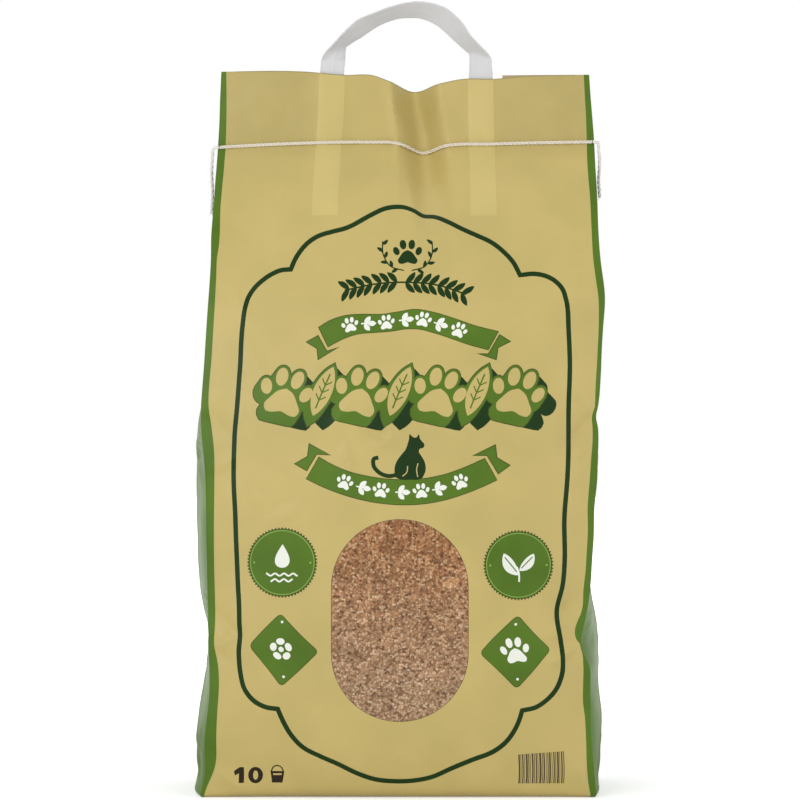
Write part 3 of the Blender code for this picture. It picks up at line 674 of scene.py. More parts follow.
def grown(outline, by):
    """A closed outline moved outwards, or inwards where by is below 0. Points run anticlockwise."""
    outline = np.array(outline, float)
    before, after = np.roll(outline, 1, axis=0), np.roll(outline, -1, axis=0)
    first, second = outline - before, after - outline
    normals = []
    for edge in (first, second):
        length = np.maximum(np.hypot(edge[:, 0], edge[:, 1]), 1e-9)
        normals.append(np.stack([edge[:, 1], -edge[:, 0]], axis=1) / length[:, None])
    mean = normals[0] + normals[1]
    mean /= np.maximum(np.hypot(mean[:, 0], mean[:, 1]), 0.5)[:, None]
    stretch = np.clip(1 / np.maximum((mean * normals[0]).sum(1), 0.5), 1, 1.8)
    return outline + mean * (by * stretch)[:, None]


def anticlockwise(outline):
    outline = np.array(outline, float)
    x, y = outline.T
    area = (x * np.roll(y, -1) - np.roll(x, -1) * y).sum()
    return outline if area > 0 else outline[::-1]


def rounded(corners, radius, gap=1.2):
    """A closed outline with its corners rounded."""
    corners = anticlockwise(corners)
    out = []
    for before, corner, after in zip(np.roll(corners, 1, axis=0), corners, np.roll(corners, -1, axis=0)):
        start = corner + (before - corner) / np.hypot(*(before - corner)) * radius
        end = corner + (after - corner) / np.hypot(*(after - corner)) * radius
        out += [(1 - t) ** 2 * start + 2 * t * (1 - t) * corner + t * t * end for t in np.linspace(0, 1, 7)]
    return spaced(out, gap, closed=True)


def oval(u, v, a, b, turn=0.0, count=26):
    t = np.linspace(0, 2 * math.pi, count, endpoint=False)
    return placed(np.stack([a * np.cos(t), b * np.sin(t)], 1), u, v, turn)


def leaf(u, v, length, width, turn, bend=0.12):
    """A pointed leaf standing up from its middle, turned anticlockwise."""
    t = np.linspace(-1, 1, 15)
    half = width / 2 * (1 - t * t) ** 0.85
    spine = bend * length * (1 - t * t)
    right = np.stack([spine + half, t * length / 2], 1)
    left = np.stack([spine - half, t * length / 2], 1)[::-1][1:-1]
    return anticlockwise(placed(np.concatenate([right, left]), u, v, turn))


def placed(points, u, v, turn):
    """An outline turned anticlockwise about 0 and moved."""
    points = np.array(points, float)
    c, s = math.cos(turn), math.sin(turn)
    return np.stack([u + points[:, 0] * c - points[:, 1] * s, v + points[:, 0] * s + points[:, 1] * c], 1)


def paw(u, v, size, turn=0.0):
    """A paw's print: one pad and four toes."""
    parts = [anticlockwise(curve(PAW_PAD, 0.08)[:-1])]
    parts += [oval(*toe, 20) for toe in PAW_TOES]
    return [placed(part * size, u, v, turn) for part in parts]


def drop(u, v, size):
    t = np.linspace(0, 2 * math.pi, 26, endpoint=False)
    width = 0.33 * np.sin(t) * np.sin(t / 2) ** 1.3
    return anticlockwise(np.stack([u + size * width * 1.3, v + size * 0.5 * np.cos(t)], 1))


def hull(points):
    """The convex outline round points, anticlockwise."""
    points = sorted(map(tuple, points))
    chains = []
    for run in (points, points[::-1]):
        chain = []
        for p in run:
            while len(chain) > 1 and ((chain[-1][0] - chain[-2][0]) * (p[1] - chain[-2][1])
                                      - (chain[-1][1] - chain[-2][1]) * (p[0] - chain[-2][0])) <= 0:
                chain.pop()
            chain.append(p)
        chains.append(chain[:-1])
    return np.array(chains[0] + chains[1])


def stroke(points, width):
    """The outline of an open line of even width."""
    points = np.array(points, float)
    along = np.gradient(points, axis=0)
    along /= np.maximum(np.hypot(along[:, 0], along[:, 1]), 1e-9)[:, None]
    side = np.stack([along[:, 1], -along[:, 0]], 1) * width / 2
    return anticlockwise(np.concatenate([points + side, (points - side)[::-1]]))


def slope_at(line, i):
    """The way a line runs at one of its points, as an angle."""
    return math.atan2(*(line[i + 1] - line[i - 1])[::-1])


def leaf_beside(foot, reach, length, width, turn, bend):
    """A leaf that stands out from a stem, with its middle at a reach from its foot."""
    u, v = foot
    aim = turn + math.pi / 2
    return leaf(u + reach * math.cos(aim), v + reach * math.sin(aim), length, width, turn, bend)


def middle_line(top, bottom):
    """The line half-way between two lines."""
    picked = []
    for line in (curve(top, 1.0), curve(bottom, 1.0)):
        picked.append(line[np.linspace(0, len(line) - 1, 90).astype(int)])
    return picked[0] + (picked[1] - picked[0]) * 0.5


layers = []


def ink(name, *outlines, level=None):
    """One printed shape: outlines inside each other leave a hole.

    With a level, the height of its middle, the shape stays true in x where the panel's middle moves.
    """
    outlines = [spaced(outline, 1.7, closed=True) for outline in outlines]
    if level is not None:
        for outline in outlines:
            outline[:, 0] += (middle_x(level * MM) - middle_x(outline[:, 1] * MM)) / MM
    layers.append((INKS.index(name), outlines))


def ink_all(name, outlines):
    for outline in outlines:
        ink(name, outline)


def draw_border():
    sides = [curve(part)[:-1] for part in (BORDER_TOP, BORDER_RIGHT, BORDER_BOTTOM, BORDER_LEFT)]
    line = anticlockwise(np.concatenate(sides))
    ink("dark", grown(line, BORDER_WIDTH / 2), grown(line, -BORDER_WIDTH / 2))


def draw_ribbon(top, bottom, tails):
    """A ribbon with a cream and an olive rim, over its two folded tails."""
    body = anticlockwise(np.concatenate([curve(top), curve(bottom)[::-1]]))
    for tail in tails:
        tail = anticlockwise(tail)
        ink("olive", grown(tail, 0.25))
        ink("leaf", grown(spaced(tail, 1.5, closed=True), -0.35))
    ink("cream", grown(body, 0.7))
    ink("olive", body)
    ink("leaf", grown(body, -0.5))


def draw_vine(top, bottom, start, end):
    """White paws and sprigs by turns along the middle of a ribbon."""
    line = middle_line(top, bottom)
    chosen = line[int(start * len(line)): int(end * len(line))]
    for k, i in enumerate(np.linspace(2, len(chosen) - 3, 7).astype(int)):
        u, v = chosen[i]
        slope = slope_at(chosen, i)
        if k % 2 == 0:
            ink_all("white", paw(u, v + 0.2, 9.8, slope))
            continue
        tip, foot = placed([(2.4, 0), (-2.6, 0)], u, v, slope)
        ink("white", leaf(*tip, 5.4, 3.4, slope - math.pi / 2, 0.0))
        ink("white", stroke(spaced(placed([(-4.4, 0), (0.4, 0)], u, v, slope), 1.2), 0.9))
        for side in (-1, 1):
            ink("white", leaf_beside(foot, 3.1, 5.6, 3.2, slope - math.pi / 2 + side * 0.85, 0.03))


def draw_title():
    """A slanted row of paws and leaves, with a green body and a dark shadow."""
    slant = math.radians(-13)
    lean = slant - 0.12
    row = []
    for k, u in enumerate((-72.0, -48.0, -24.5, 0.5, 25.0, 49.5, 74.5)):
        v = 256.6 + (0.9 if k % 2 else -0.4)
        row.append([leaf(u - 0.5, v, 33.0, 12.0, lean, 0.0)] if k % 2 else paw(u, v, 31.0, slant))
    for name, wider, near, far in TITLE_DEPTHS:
        for parts in row:
            for part in parts:
                wide = grown(part, wider)
                ink(name, hull(np.concatenate([wide + near, wide + far])))
    for k, parts in enumerate(row):
        ink_all("cream", parts)
        if k % 2 == 0:
            continue
        middle = parts[0].mean(axis=0)
        ink("leaf", stroke(spaced(placed([(0, -11.5), (0, 11.5)], *middle, lean), 2.0), 1.0))
        for along in (-6, -1, 4):
            for side in (-1, 1):
                vein = placed([(0, along), (side * 3.4, along + 3.4)], *middle, lean)
                ink("leaf", stroke(spaced(vein, 1.6), 0.8))


def draw_emblem():
    """A paw between two sprigs, over a garland of leaves."""
    middle = 1.2
    ink_all("dark", paw(middle, 346.0, 17.0))
    for side in (-1, 1):
        steps = ((2.5, 334.4), (11.0, 337.2), (15.6, 345.0), (15.8, 353.5))
        sprig = curve([(middle + side * u, v) for u, v in steps], 1.0)
        ink("dark", stroke(sprig, 0.8))
        for k, i in enumerate(np.linspace(4, len(sprig) - 3, 6).astype(int)):
            turn = slope_at(sprig, i) - math.pi / 2 + side * (0.8 if k % 2 else -0.8)
            ink("dark", leaf_beside(sprig[i], 2.0, 5.2, 2.2, turn, 0.06))
    arch = curve([(-39.0, 321.5), (-20.0, 325.6), (0.0, 326.8), (20.0, 325.0), (38.5, 319.0)], 1.0)
    ink("dark", stroke(arch, 1.1))
    for i in np.linspace(3, len(arch) - 4, 15).astype(int):
        lean = -1 if arch[i][0] < 0 else 1
        for side in (-1, 1):
            turn = slope_at(arch, i) - lean * math.pi / 2 + side * 0.85
            ink("dark", leaf_beside(arch[i], 4.2, 9.4, 3.6, turn, 0.05))


def draw_cat():
    """A seated cat seen from the side, its tail curled round to the left."""
    ink("dark", stroke(curve(CAT_TAIL, 0.9), 2.6))
    ink("dark", anticlockwise(curve(CAT_BODY, 0.9)[:-1]))
    ink("cream", stroke(curve([(10.6, 203.6), (10.0, 208.2), (11.0, 212.2)], 0.8), 0.7))
    ink("cream", stroke(curve([(1.0, 204.0), (3.8, 206.6), (4.4, 210.4)], 0.8), 0.7))


def draw_seals():
    """Two round seals with serrated edges: a drop over waves, and two leaves on a stem."""
    for name, (u, v, radius) in SEALS.items():
        t = np.linspace(0, 2 * math.pi, 2 * SEAL_TEETH, endpoint=False)
        r = np.where(np.arange(2 * SEAL_TEETH) % 2, radius - 1.1, radius + 0.2)
        field, outer, inner = (oval(u, v, radius - by, radius - by, count=72) for by in (1.5, 1.8, 2.3))
        ink("olive", np.stack([u + r * np.cos(t), v + r * np.sin(t)], 1), level=v)
        ink("leaf", field, level=v)
        ink("light", outer, inner, level=v)
        if name == "left":
            ink("white", drop(u, v + 4.2, 15.0))
            for k, width in enumerate((20.0, 14.0)):
                x = np.linspace(-width / 2, width / 2, 22)
                ink("white", stroke(np.stack([u + x, v - 7.6 - 3.6 * k + 0.8 * np.sin(x * 1.1)], 1), 1.1))
        else:
            ink("white", leaf(u - 4.6, v + 0.6, 17.0, 7.4, 0.62, -0.08))
            ink("white", leaf(u + 5.2, v + 1.8, 14.0, 6.4, -0.70, 0.08))
            stem = curve([(u + 0.8, v - 10.5), (u + 0.4, v - 5.0), (u - 1.0, v - 1.0)], 0.9)
            ink("white", stroke(stem, 1.1))
            ink("leaf", stroke(spaced(placed([(0.2, -6), (-0.8, 6)], u - 4.6, v + 0.6, 0.62), 1.5), 0.7))
            ink("leaf", stroke(spaced(placed([(-0.2, -5), (0.6, 5)], u + 5.2, v + 1.8, -0.70), 1.5), 0.7))
        for side in (-1, 1):
            ink("light", oval(u + side * (radius - 4.4), v, 0.7, 0.7, count=10))


def draw_diamonds():
    """Two leaning diamonds: a ring of grains, and a paw."""
    for name, corners in DIAMONDS.items():
        shape = rounded(corners, 3.6)
        ink("olive", shape)
        ink("leaf", grown(shape, -0.45))
        u, v = np.array(corners).mean(axis=0)
        for sign in (-1, 1):
            ink("white", oval(u + 0.8 * sign, v + sign * 17.3, 0.85, 0.85, count=12))
        if name == "left":
            for k in range(5):
                angle = 2 * math.pi * k / 5 + 0.3
                ink("white", oval(u + 5.0 * math.cos(angle), v + 5.0 * math.sin(angle), 2.1, 2.7, angle, 18))
            ink("white", oval(u, v, 1.7, 1.7, count=14))
        else:
            ink_all("white", paw(u, v + 0.5, 17.0, 0.10))


def draw_window():
    """The tall oval of printed litter: two half rounds and straight sides."""
    u, v, a, b = WINDOW
    t = np.linspace(0, math.pi, 34)
    half = np.stack([a * np.cos(t), (b - a) + a * np.sin(t)], 1)
    shape = np.concatenate([half, -half]) + (u, v)
    ink("bars", grown(shape, 0.3), level=v)
    ink("grain", shape, level=v)


def draw_small_print():
    """The number 10 with a small measuring pail at the left, and made-up bars at the right."""
    ink("black", anticlockwise(FIGURE_ONE))
    ink("black", oval(-91.0, 14.7, 4.7, 5.3), oval(-91.0, 14.7, 1.6, 3.0))
    ink("black", anticlockwise([(-81.6, 17.4), (-72.8, 17.4), (-73.9, 9.9), (-80.5, 9.9)]))
    ink("cream", anticlockwise([(-80.0, 15.9), (-74.4, 15.9), (-74.6, 14.8), (-79.8, 14.8)]))
    handle = [(-81.2, 17.0), (-79.4, 20.2), (-77.2, 21.0), (-75.0, 20.2), (-73.2, 17.0)]
    ink("black", stroke(curve(handle, 0.8), 0.8))
    low, high = np.array([[75.3, 9.5], [29.1, -0.2]]), np.array([[75.5, 28.2], [29.1, 1.8]])
    u, total = 0.0, sum(BAR_WIDTHS) + sum(BAR_GAPS[:-1])
    for width, gap in zip(BAR_WIDTHS, BAR_GAPS):
        first, last = u / total, (u + width) / total
        corners = ((low, first), (low, last), (high, last), (high, first))
        ink("bars", np.array([start + share * along for (start, along), share in corners]))
        u += width + gap


def draw_tails():
    """The lighter paper over the strap's two tails."""
    v = np.linspace((SEAM_HEIGHT - STRAP_TAIL) / MM - 2, TOP_V - 0.1, 30)
    half = STRAP_WIDTH / MM / 2 + 0.5
    for side in (-1, 1):
        middle = (tail_x(side, v * MM) - middle_x(v * MM)) / MM
        right, left = (np.stack([middle + edge, v], 1) for edge in (half, -half))
        ink("pale", anticlockwise(np.concatenate([right, left[::-1]])))


def draw_cut_edge_and_shade():
    """A thin darker line along the top of the front paper where it is cut off: partly the print's edge,
    partly painted shade where the edge falls into shadow.
    """
    u = np.linspace(-110, 110, 90)
    line = np.stack([u, np.full(len(u), TOP_V - 0.05)], 1)
    ink("cut_edge_and_shade", anticlockwise(np.concatenate([line, (line - (0, 0.5))[::-1]])))


def draw_print():
    draw_tails()
    draw_cut_edge_and_shade()
    draw_border()
    draw_emblem()
    draw_ribbon(RIBBON_UP_TOP, RIBBON_UP_BOTTOM, RIBBON_UP_TAILS)
    draw_vine(RIBBON_UP_TOP, RIBBON_UP_BOTTOM, 0.15, 0.83)
    draw_title()
    draw_ribbon(RIBBON_LOW_TOP, RIBBON_LOW_BOTTOM, RIBBON_LOW_TAILS)
    draw_vine(RIBBON_LOW_TOP, RIBBON_LOW_BOTTOM, 0.17, 0.85)
    draw_cat()
    draw_seals()
    draw_diamonds()
    draw_window()
    draw_small_print()


def inside(outline, points):
    """Which points lie in a closed outline."""
    x, y = points.T
    result = np.zeros(len(points), bool)
    for (x0, y0), (x1, y1) in zip(outline, np.roll(outline, -1, axis=0)):
        if y0 == y1:
            continue
        crosses = (y0 > y) != (y1 > y)
        result ^= crosses & (x < (x1 - x0) * (y - y0) / (y1 - y0) + x0)
    return result


def strip_edge(side, v):
    """The u where the green edge strip meets the cream paper."""
    return side * (half_width(v * MM) / MM - np.maximum(through(STRIP_WIDTHS[side], v), 0.5))


def row_heights():
    """Paper heights in millimetres of the rows along the creases, close together at the foot and the seam."""
    body = np.linspace(10.0, SEAM_V - 6, round((SEAM_V - 16) / ROW_STEP))[1:]
    sewn = SEAM_V + np.array([-4.0, -2.6, -1.5, -0.7, 0.0, 0.7, 1.5, 2.6, 4.0, 6.0])
    neck = np.linspace(SEAM_V + 6, TOP_V, round((TOP_V - SEAM_V - 6) / ROW_STEP))[1:]
    return np.array([*FOOT_ROWS, *body, *sewn, *neck])


ROWS = row_heights()


def columns_across(v, count):
    """The u of a panel's columns at v: one over each edge strip and an even count between them."""
    half = half_width(v * MM) / MM
    left, right = strip_edge(-1, v), strip_edge(1, v)
    even = [left + (right - left) * s for s in np.linspace(0, 1, count + 1)]
    return np.stack([-half, (left - half) / 2, *even, (right + half) / 2, half], axis=-1)


def free_points(points):
    """Points between the printed lines: staggered rows, closer together at the foot and the seam."""
    tree = kdtree.KDTree(len(points))
    for i, (u, v) in enumerate(points):
        tree.insert((u, v, 0), i)
    tree.balance()
    rows = [(v, GRID) for v in np.arange(12.0, TOP_V, GRID)]
    rows += [(v, GRID) for v in FOOT_ROWS[1:]]
    rows += [(SEAM_V + dv, STITCH / MM / 6) for dv in (-4.5, -3.0, -1.6, -0.5, 0.5, 1.6, 3.0, 4.5)]
    found = []
    for k, (v, gap) in enumerate(sorted(rows)):
        width = half_width(v * MM) / MM
        for u in np.arange(-width + 1.0 + (k % 2) * gap / 2, width - 0.8, gap):
            if tree.find((u, v, 0))[2] > CLEAR_OF_LINES:
                found.append((u, v))
    return found


def triangulated(points, edges, near):
    """Triangles through flat points, cut along edges; points nearer than near are one."""
    done = geometry.delaunay_2d_cdt([Vector(p) for p in points], edges, [], 0, near, False)
    return np.array([tuple(p) for p in done[0]]), np.array([f for f in done[2] if len(f) == 3])


def front_mesh():
    """The front panel cut along the outlines of its print: points, triangles and an ink for each triangle."""
    points, edges = [], []

    def add_line(line, closed):
        first = len(points)
        points.extend(map(tuple, line))
        last = len(points)
        edges.extend((i, i + 1) for i in range(first, last - 1))
        if closed:
            edges.append((last - 1, first))

    half = half_width(ROWS * MM) / MM
    right, left = np.stack([half, ROWS], 1), np.stack([-half, ROWS], 1)[::-1]
    low, high = (columns_across(v, FRONT_COLUMNS) for v in (0.0, TOP_V))
    low, high = np.stack([low, 0 * low], 1), np.stack([high, 0 * high + TOP_V], 1)[::-1]
    add_line(np.concatenate([low[:-1], right[:-1], high[:-1], left[:-1]]), True)
    for side in (-1, 1):
        add_line(np.stack([strip_edge(side, ROWS), ROWS], 1), False)
    for _, outlines in layers:
        for outline in outlines:
            add_line(outline, True)
    points += free_points(points)

    flat, faces = triangulated(points, edges, 1e-5)
    centre = flat[faces].mean(axis=1)
    a, b, c = flat[faces].transpose(1, 0, 2)
    area = np.abs((b[:, 0] - a[:, 0]) * (c[:, 1] - a[:, 1]) - (b[:, 1] - a[:, 1]) * (c[:, 0] - a[:, 0])) / 2
    width = half_width(np.clip(centre[:, 1], 0, TOP_V) * MM) / MM
    keep = (np.abs(centre[:, 0]) < width - 1e-4) & (area > 1e-7)
    faces, centre = faces[keep], centre[keep]

    colour = np.zeros(len(faces), int)
    colour[centre[:, 0] < strip_edge(-1, centre[:, 1])] = INKS.index("leaf")
    colour[centre[:, 0] > strip_edge(1, centre[:, 1])] = INKS.index("leaf")
    for which, outlines in layers:
        lowest = np.min([o.min(axis=0) for o in outlines], axis=0)
        highest = np.max([o.max(axis=0) for o in outlines], axis=0)
        near = np.flatnonzero(((centre > lowest) & (centre < highest)).all(axis=1))
        hit = np.zeros(len(near), bool)
        for outline in outlines:
            hit ^= inside(outline, centre[near])
        colour[near[hit]] = which
    return flat, faces, colour


def texture_grid(across, down):
    """The texture places of a grid, from those of its columns and its rows."""
    return np.stack(np.meshgrid(across, down), axis=2)


class Builder:
    """Collects the faces of one mesh, with a material and a texture place for each corner."""

    def __init__(self):
        self.points, self.faces, self.inks, self.texture = [], [], [], []

    def add(self, points, faces, inks, texture):
        """Faces over new points; inks is one per face, texture one place in millimetres per point."""
        first = len(self.points)
        self.points.extend(map(tuple, points))
        texture = np.asarray(texture, float) / ATLAS
        for face, which in zip(faces, inks):
            self.faces.append([first + int(i) for i in face])
            self.inks.append(int(which))
            self.texture.extend(texture[int(i)] for i in face)

    def grid(self, points, texture, inks):
        """Quads through an array of rows and columns; inks is one per column of faces."""
        rows, columns = points.shape[:2]
        number = np.arange(rows * columns).reshape(rows, columns)
        faces, colours = [], []
        for r in range(rows - 1):
            for c in range(columns - 1):
                faces.append((number[r, c], number[r, c + 1], number[r + 1, c + 1], number[r + 1, c]))
                colours.append(inks[c])
        self.add(points.reshape(-1, 3), faces, colours, texture.reshape(-1, 2))

    def cap(self, loop, centre, place=0.0):
        """A fan of triangles over the end of a tube."""
        count = len(loop)
        faces = [(i, (i + 1) % count, count) for i in range(count)]
        self.add([*loop, centre], faces, [0] * count, np.full((count + 1, 2), place))

    def finish(self, name, materials, smooth_angle):
        """The object, with its close points made one; edges sharper than the angle in degrees stay sharp."""
        mesh = bpy.data.meshes.new(name)
        mesh.from_pydata(self.points, [], self.faces)
        for material in materials:
            mesh.materials.append(material)
        mesh.polygons.foreach_set("material_index", self.inks)
        layer = mesh.uv_layers.new(name="OFBake")
        layer.data.foreach_set("uv", np.array(self.texture).ravel())
        shape = bmesh.new()
        shape.from_mesh(mesh)
        bmesh.ops.remove_doubles(shape, verts=shape.verts, dist=2e-6)
        bmesh.ops.recalc_face_normals(shape, faces=shape.faces)
        shape.to_mesh(mesh)
        shape.free()
        mesh.shade_smooth()
        mesh.set_sharp_from_angle(angle=math.radians(smooth_angle))
        return add_object(name, mesh)


def crease_band(side, front, v):
    """A panel's edge at the heights v, and two columns of points from it round the crease."""
    height = v * MM
    panel = (front_point if front < 0 else back_point)((crease_x(side, height) - middle_x(height)) / MM, v)
    gusset = gusset_point(side, np.full(len(v), float(front)), height)
    band = [panel + (gusset - panel) * share + (side * CREASE_ROUNDNESS, 0, 0) for share in (0.33, 0.67)]
    return panel, band


def gusset_grid(side, v):
    """A gusset with both of its creases at the heights v, from the front panel to the back one."""
    front, near = crease_band(side, -1, v)
    back, far = crease_band(side, 1, v)
    paper = [gusset_point(side, np.full(len(v), t), v * MM) for t in np.linspace(-1, 1, GUSSET_COLUMNS + 1)]
    return np.stack([front, *near, *paper, *far[::-1], back], axis=1)


def ring(v):
    """The loop round the sack at a paper height, seen from above: front, right, back, left."""
    panels = []
    for place, count in ((front_point, FRONT_COLUMNS), (back_point, BACK_COLUMNS)):
        u = columns_across(v, count)
        panels.append(place(u, np.full(len(u), v)))
    left, right = (gusset_grid(side, np.array([v]))[0, 1:-1] for side in (-1, 1))
    return np.concatenate([panels[0], right, panels[1][::-1], left[::-1]])


def inner_ring(v):
    """The inside of the paper at the same height."""
    loop = ring(v)
    return np.concatenate([grown(loop[:, :2], -PLY), loop[:, 2:]], axis=1)


def build_sack(materials, names):
    """The whole paper sack in one mesh: front, back, gussets, mouth and bottom."""
    leaf_ink, cream_ink, gusset, raw = (names.index(name) for name in ("leaf", "cream", "gusset", "raw"))
    builder = Builder()
    flat, faces, colour = front_mesh()
    builder.add(front_point(flat[:, 0], np.clip(flat[:, 1], 0, TOP_V)), faces, colour, flat + PLACE["front"])

    columns = columns_across(ROWS, BACK_COLUMNS)
    rows = np.repeat(ROWS[:, None], columns.shape[1], axis=1)
    back = back_point(columns.ravel(), rows.ravel()).reshape(*columns.shape, 3)
    inks = [leaf_ink] * 2 + [cream_ink] * BACK_COLUMNS + [leaf_ink] * 2
    builder.grid(back, np.stack([columns, rows], axis=2) + PLACE["back"], inks)

    for side in (-1, 1):
        points = gusset_grid(side, ROWS)
        count = points.shape[1]
        texture = texture_grid(np.linspace(-GUSSET_SPREAD / 2, GUSSET_SPREAD / 2, count), ROWS)
        builder.grid(points, texture + PLACE[side], [leaf_ink] * 2 + [gusset] * (count - 5) + [leaf_ink] * 2)

    depths = np.linspace(TOP_V, (HEIGHT - MOUTH_DEPTH) / MM, 8)
    loops = np.array([ring(TOP_V), *map(inner_ring, depths)])
    closed = np.concatenate([loops, loops[:, :1]], axis=1)
    count = closed.shape[1]
    texture = texture_grid(np.linspace(0, 760, count), [0.0, 1.0, *np.linspace(3, 40, 7)])
    builder.grid(closed, texture + PLACE["rim"], [raw] * (count - 1))

    points, faces = base_mesh(ring(0.0))
    builder.add(points, faces, [cream_ink] * len(faces), points[:, :2] / MM + PLACE["base"])
    return builder.finish("paper_sack", materials, 42)


def base_mesh(loop):
    """The folded bottom: two end flaps under a long one, glued over each other, with a ridge at each edge."""
    outline = loop[:, :2]
    edges = [(i, (i + 1) % len(outline)) for i in range(len(outline))]
    points = [tuple(p) for p in outline]
    grid_x, grid_y = np.meshgrid(np.arange(-0.116, 0.117, 0.004), np.arange(-0.044, 0.045, 0.004))
    points += list(zip(grid_x.ravel(), grid_y.ravel()))
    lines = [[(-FLAP_TIP, 0.012), (FLAP_TIP, 0.012)]]
    for side in (-1, 1):
        lines.append([(side * FLAP_TIP, 0.0108), (side * (FLAP_TIP + FLAP_REACH), -FLAP_REACH)])
        lines.append([(side * FLAP_TIP, 0.0132), (side * (FLAP_TIP + FLAP_REACH - 0.012), FLAP_REACH)])
    for line in lines:
        first = len(points)
        points += [tuple(p) for p in spaced(line, 0.004)]
        edges += [(i, i + 1) for i in range(first, len(points) - 1)]
    flat, faces = triangulated(points, edges, 1e-7)
    faces = faces[inside(outline, flat[faces].mean(axis=1))]
    ridge = np.zeros(len(flat))
    for (x0, y0), (x1, y1) in lines:
        dx, dy = x1 - x0, y1 - y0
        x, y = flat[:, 0] - x0, flat[:, 1] - y0
        t = np.clip((x * dx + y * dy) / (dx**2 + dy**2), 0, 1)
        ridge = np.maximum(ridge, 0.0006 * np.exp(-((np.hypot(x - t * dx, y - t * dy) / 0.0008) ** 2)))
    ridge[: len(outline)] = loop[:, 2]
    return np.concatenate([flat, ridge[:, None]], axis=1), faces


def tube(builder, points, radii, count):
    """A closed round tube through points, with one radius or one for each point."""
    along = unit(np.gradient(points, axis=0))
    side = np.cross(along, (0.0, 0.0, 1.0))
    upright = np.linalg.norm(side, axis=1) < 0.2
    side[upright] = np.cross(along[upright], (0.0, 1.0, 0.0))
    side = unit(side)
    other = np.cross(side, along)
    angles = np.linspace(0, 2 * math.pi, count + 1)
    t = angles[None, :, None]
    radii = np.broadcast_to(radii, len(points))[:, None, None]
    rings = points[:, None] + radii * (np.cos(t) * side[:, None] + np.sin(t) * other[:, None])
    builder.grid(rings, texture_grid(angles * 0.6, run(points) / MM), [0] * count)
    for end in (0, -1):
        builder.cap(rings[end][:-1], points[end])


class Nodes:
    """The nodes of one material or world."""

    def __init__(self, owner):
        owner.use_nodes = True
        self.tree = owner.node_tree

    def put(self, socket, value):
        """Joins another node's output to a socket, or sets a plain value on it."""
        if isinstance(value, bpy.types.NodeSocket):
            self.tree.links.new(value, socket)
        else:
            socket.default_value = value

    def add(self, kind, inputs, **settings):
        """A new node, with its settings and with its inputs by name or number."""
        node = self.tree.nodes.new("ShaderNode" + kind)
        for key, value in settings.items():
            setattr(node, key, value)
        for key, value in inputs.items():
            self.put(node.inputs[key], value)
        return node

    def place(self):
        return self.add("TexCoord", {}).outputs["Object"]

    def axis(self, place, name):
        return self.add("SeparateXYZ", {"Vector": place}).outputs[name]

    def number(self, operation, *values):
        return self.add("Math", dict(enumerate(values)), operation=operation).outputs["Value"]

    def ranged(self, value, low, high, to_low, to_high):
        """A value that goes from to_low to to_high as the given one goes from low to high."""
        limits = {"From Min": low, "From Max": high, "To Min": to_low, "To Max": to_high}
        return self.add("MapRange", {"Value": value, **limits}).outputs["Result"]

    def scaled(self, colour, factor):
        return self.add("VectorMath", {0: colour, "Scale": factor}, operation="SCALE").outputs["Vector"]

    def noise(self, source, scale, detail=3.0, stretch=(1, 1, 1), seed=0.0):
        moved = {"Vector": source, "Location": (seed, seed * 0.7, seed * 1.3), "Scale": stretch}
        place = self.add("Mapping", moved).outputs["Vector"]
        return self.add("TexNoise", {"Vector": place, "Scale": scale, "Detail": detail}).outputs["Fac"]

    def ramp(self, source, stops):
        """Colours by a value. The first two stops are its ends, and the others lie between them."""
        ramp = self.add("ValToRGB", {"Fac": source})
        for i, (place, colour) in enumerate(stops):
            element = ramp.color_ramp.elements[i] if i < 2 else ramp.color_ramp.elements.new(place)
            element.position = place
            element.color = (*colour, 1)
        return ramp.outputs["Color"]

    def bump(self, height, strength, distance):
        inputs = {"Height": height, "Strength": strength, "Distance": distance}
        return self.add("Bump", inputs).outputs["Normal"]

    def seen(self):
        """1 for rays that show the stage itself: straight, in a reflection or through something clear."""
        rays = self.add("LightPath", {}).outputs
        shown = self.number("MAXIMUM", rays["Is Camera Ray"], rays["Is Glossy Ray"])
        return self.number("MAXIMUM", shown, rays["Is Transmission Ray"])


def add_material(name, colour, roughness):
    material = bpy.data.materials.new(name)
    nodes = Nodes(material)
    shader = material.node_tree.nodes["Principled BSDF"].inputs
    shader["Base Color"].default_value = (*colour, 1)
    shader["Roughness"].default_value = roughness
    return material, nodes, shader


def tint(colour, factor, warm=0.0):
    """A colour made lighter or darker, and a little redder or greener."""
    shift = (1 + warm, 1 - warm, 1 + warm)
    return tuple(min(c * factor * s, 1.0) for c, s in zip(colour, shift))


def slanted_creases(nodes, place):
    """Fine creases in patches of a gusset, rising towards its back."""
    turned = {}
    for axis, direction in (("X", (0.0, 26.0, 7.0)), ("Y", (0.0, -75.0, 290.0))):
        share = nodes.add("VectorMath", {0: place, 1: direction}, operation="DOT_PRODUCT")
        turned[axis] = share.outputs["Value"]
    lines = nodes.noise(nodes.add("CombineXYZ", turned).outputs["Vector"], 1.0, 1.0, seed=4.0)
    patches = nodes.ranged(nodes.noise(place, 20.0, 1.0, seed=6.0), 0.50, 0.68, 0.0, 10.0)
    return nodes.number("MULTIPLY", lines, patches)


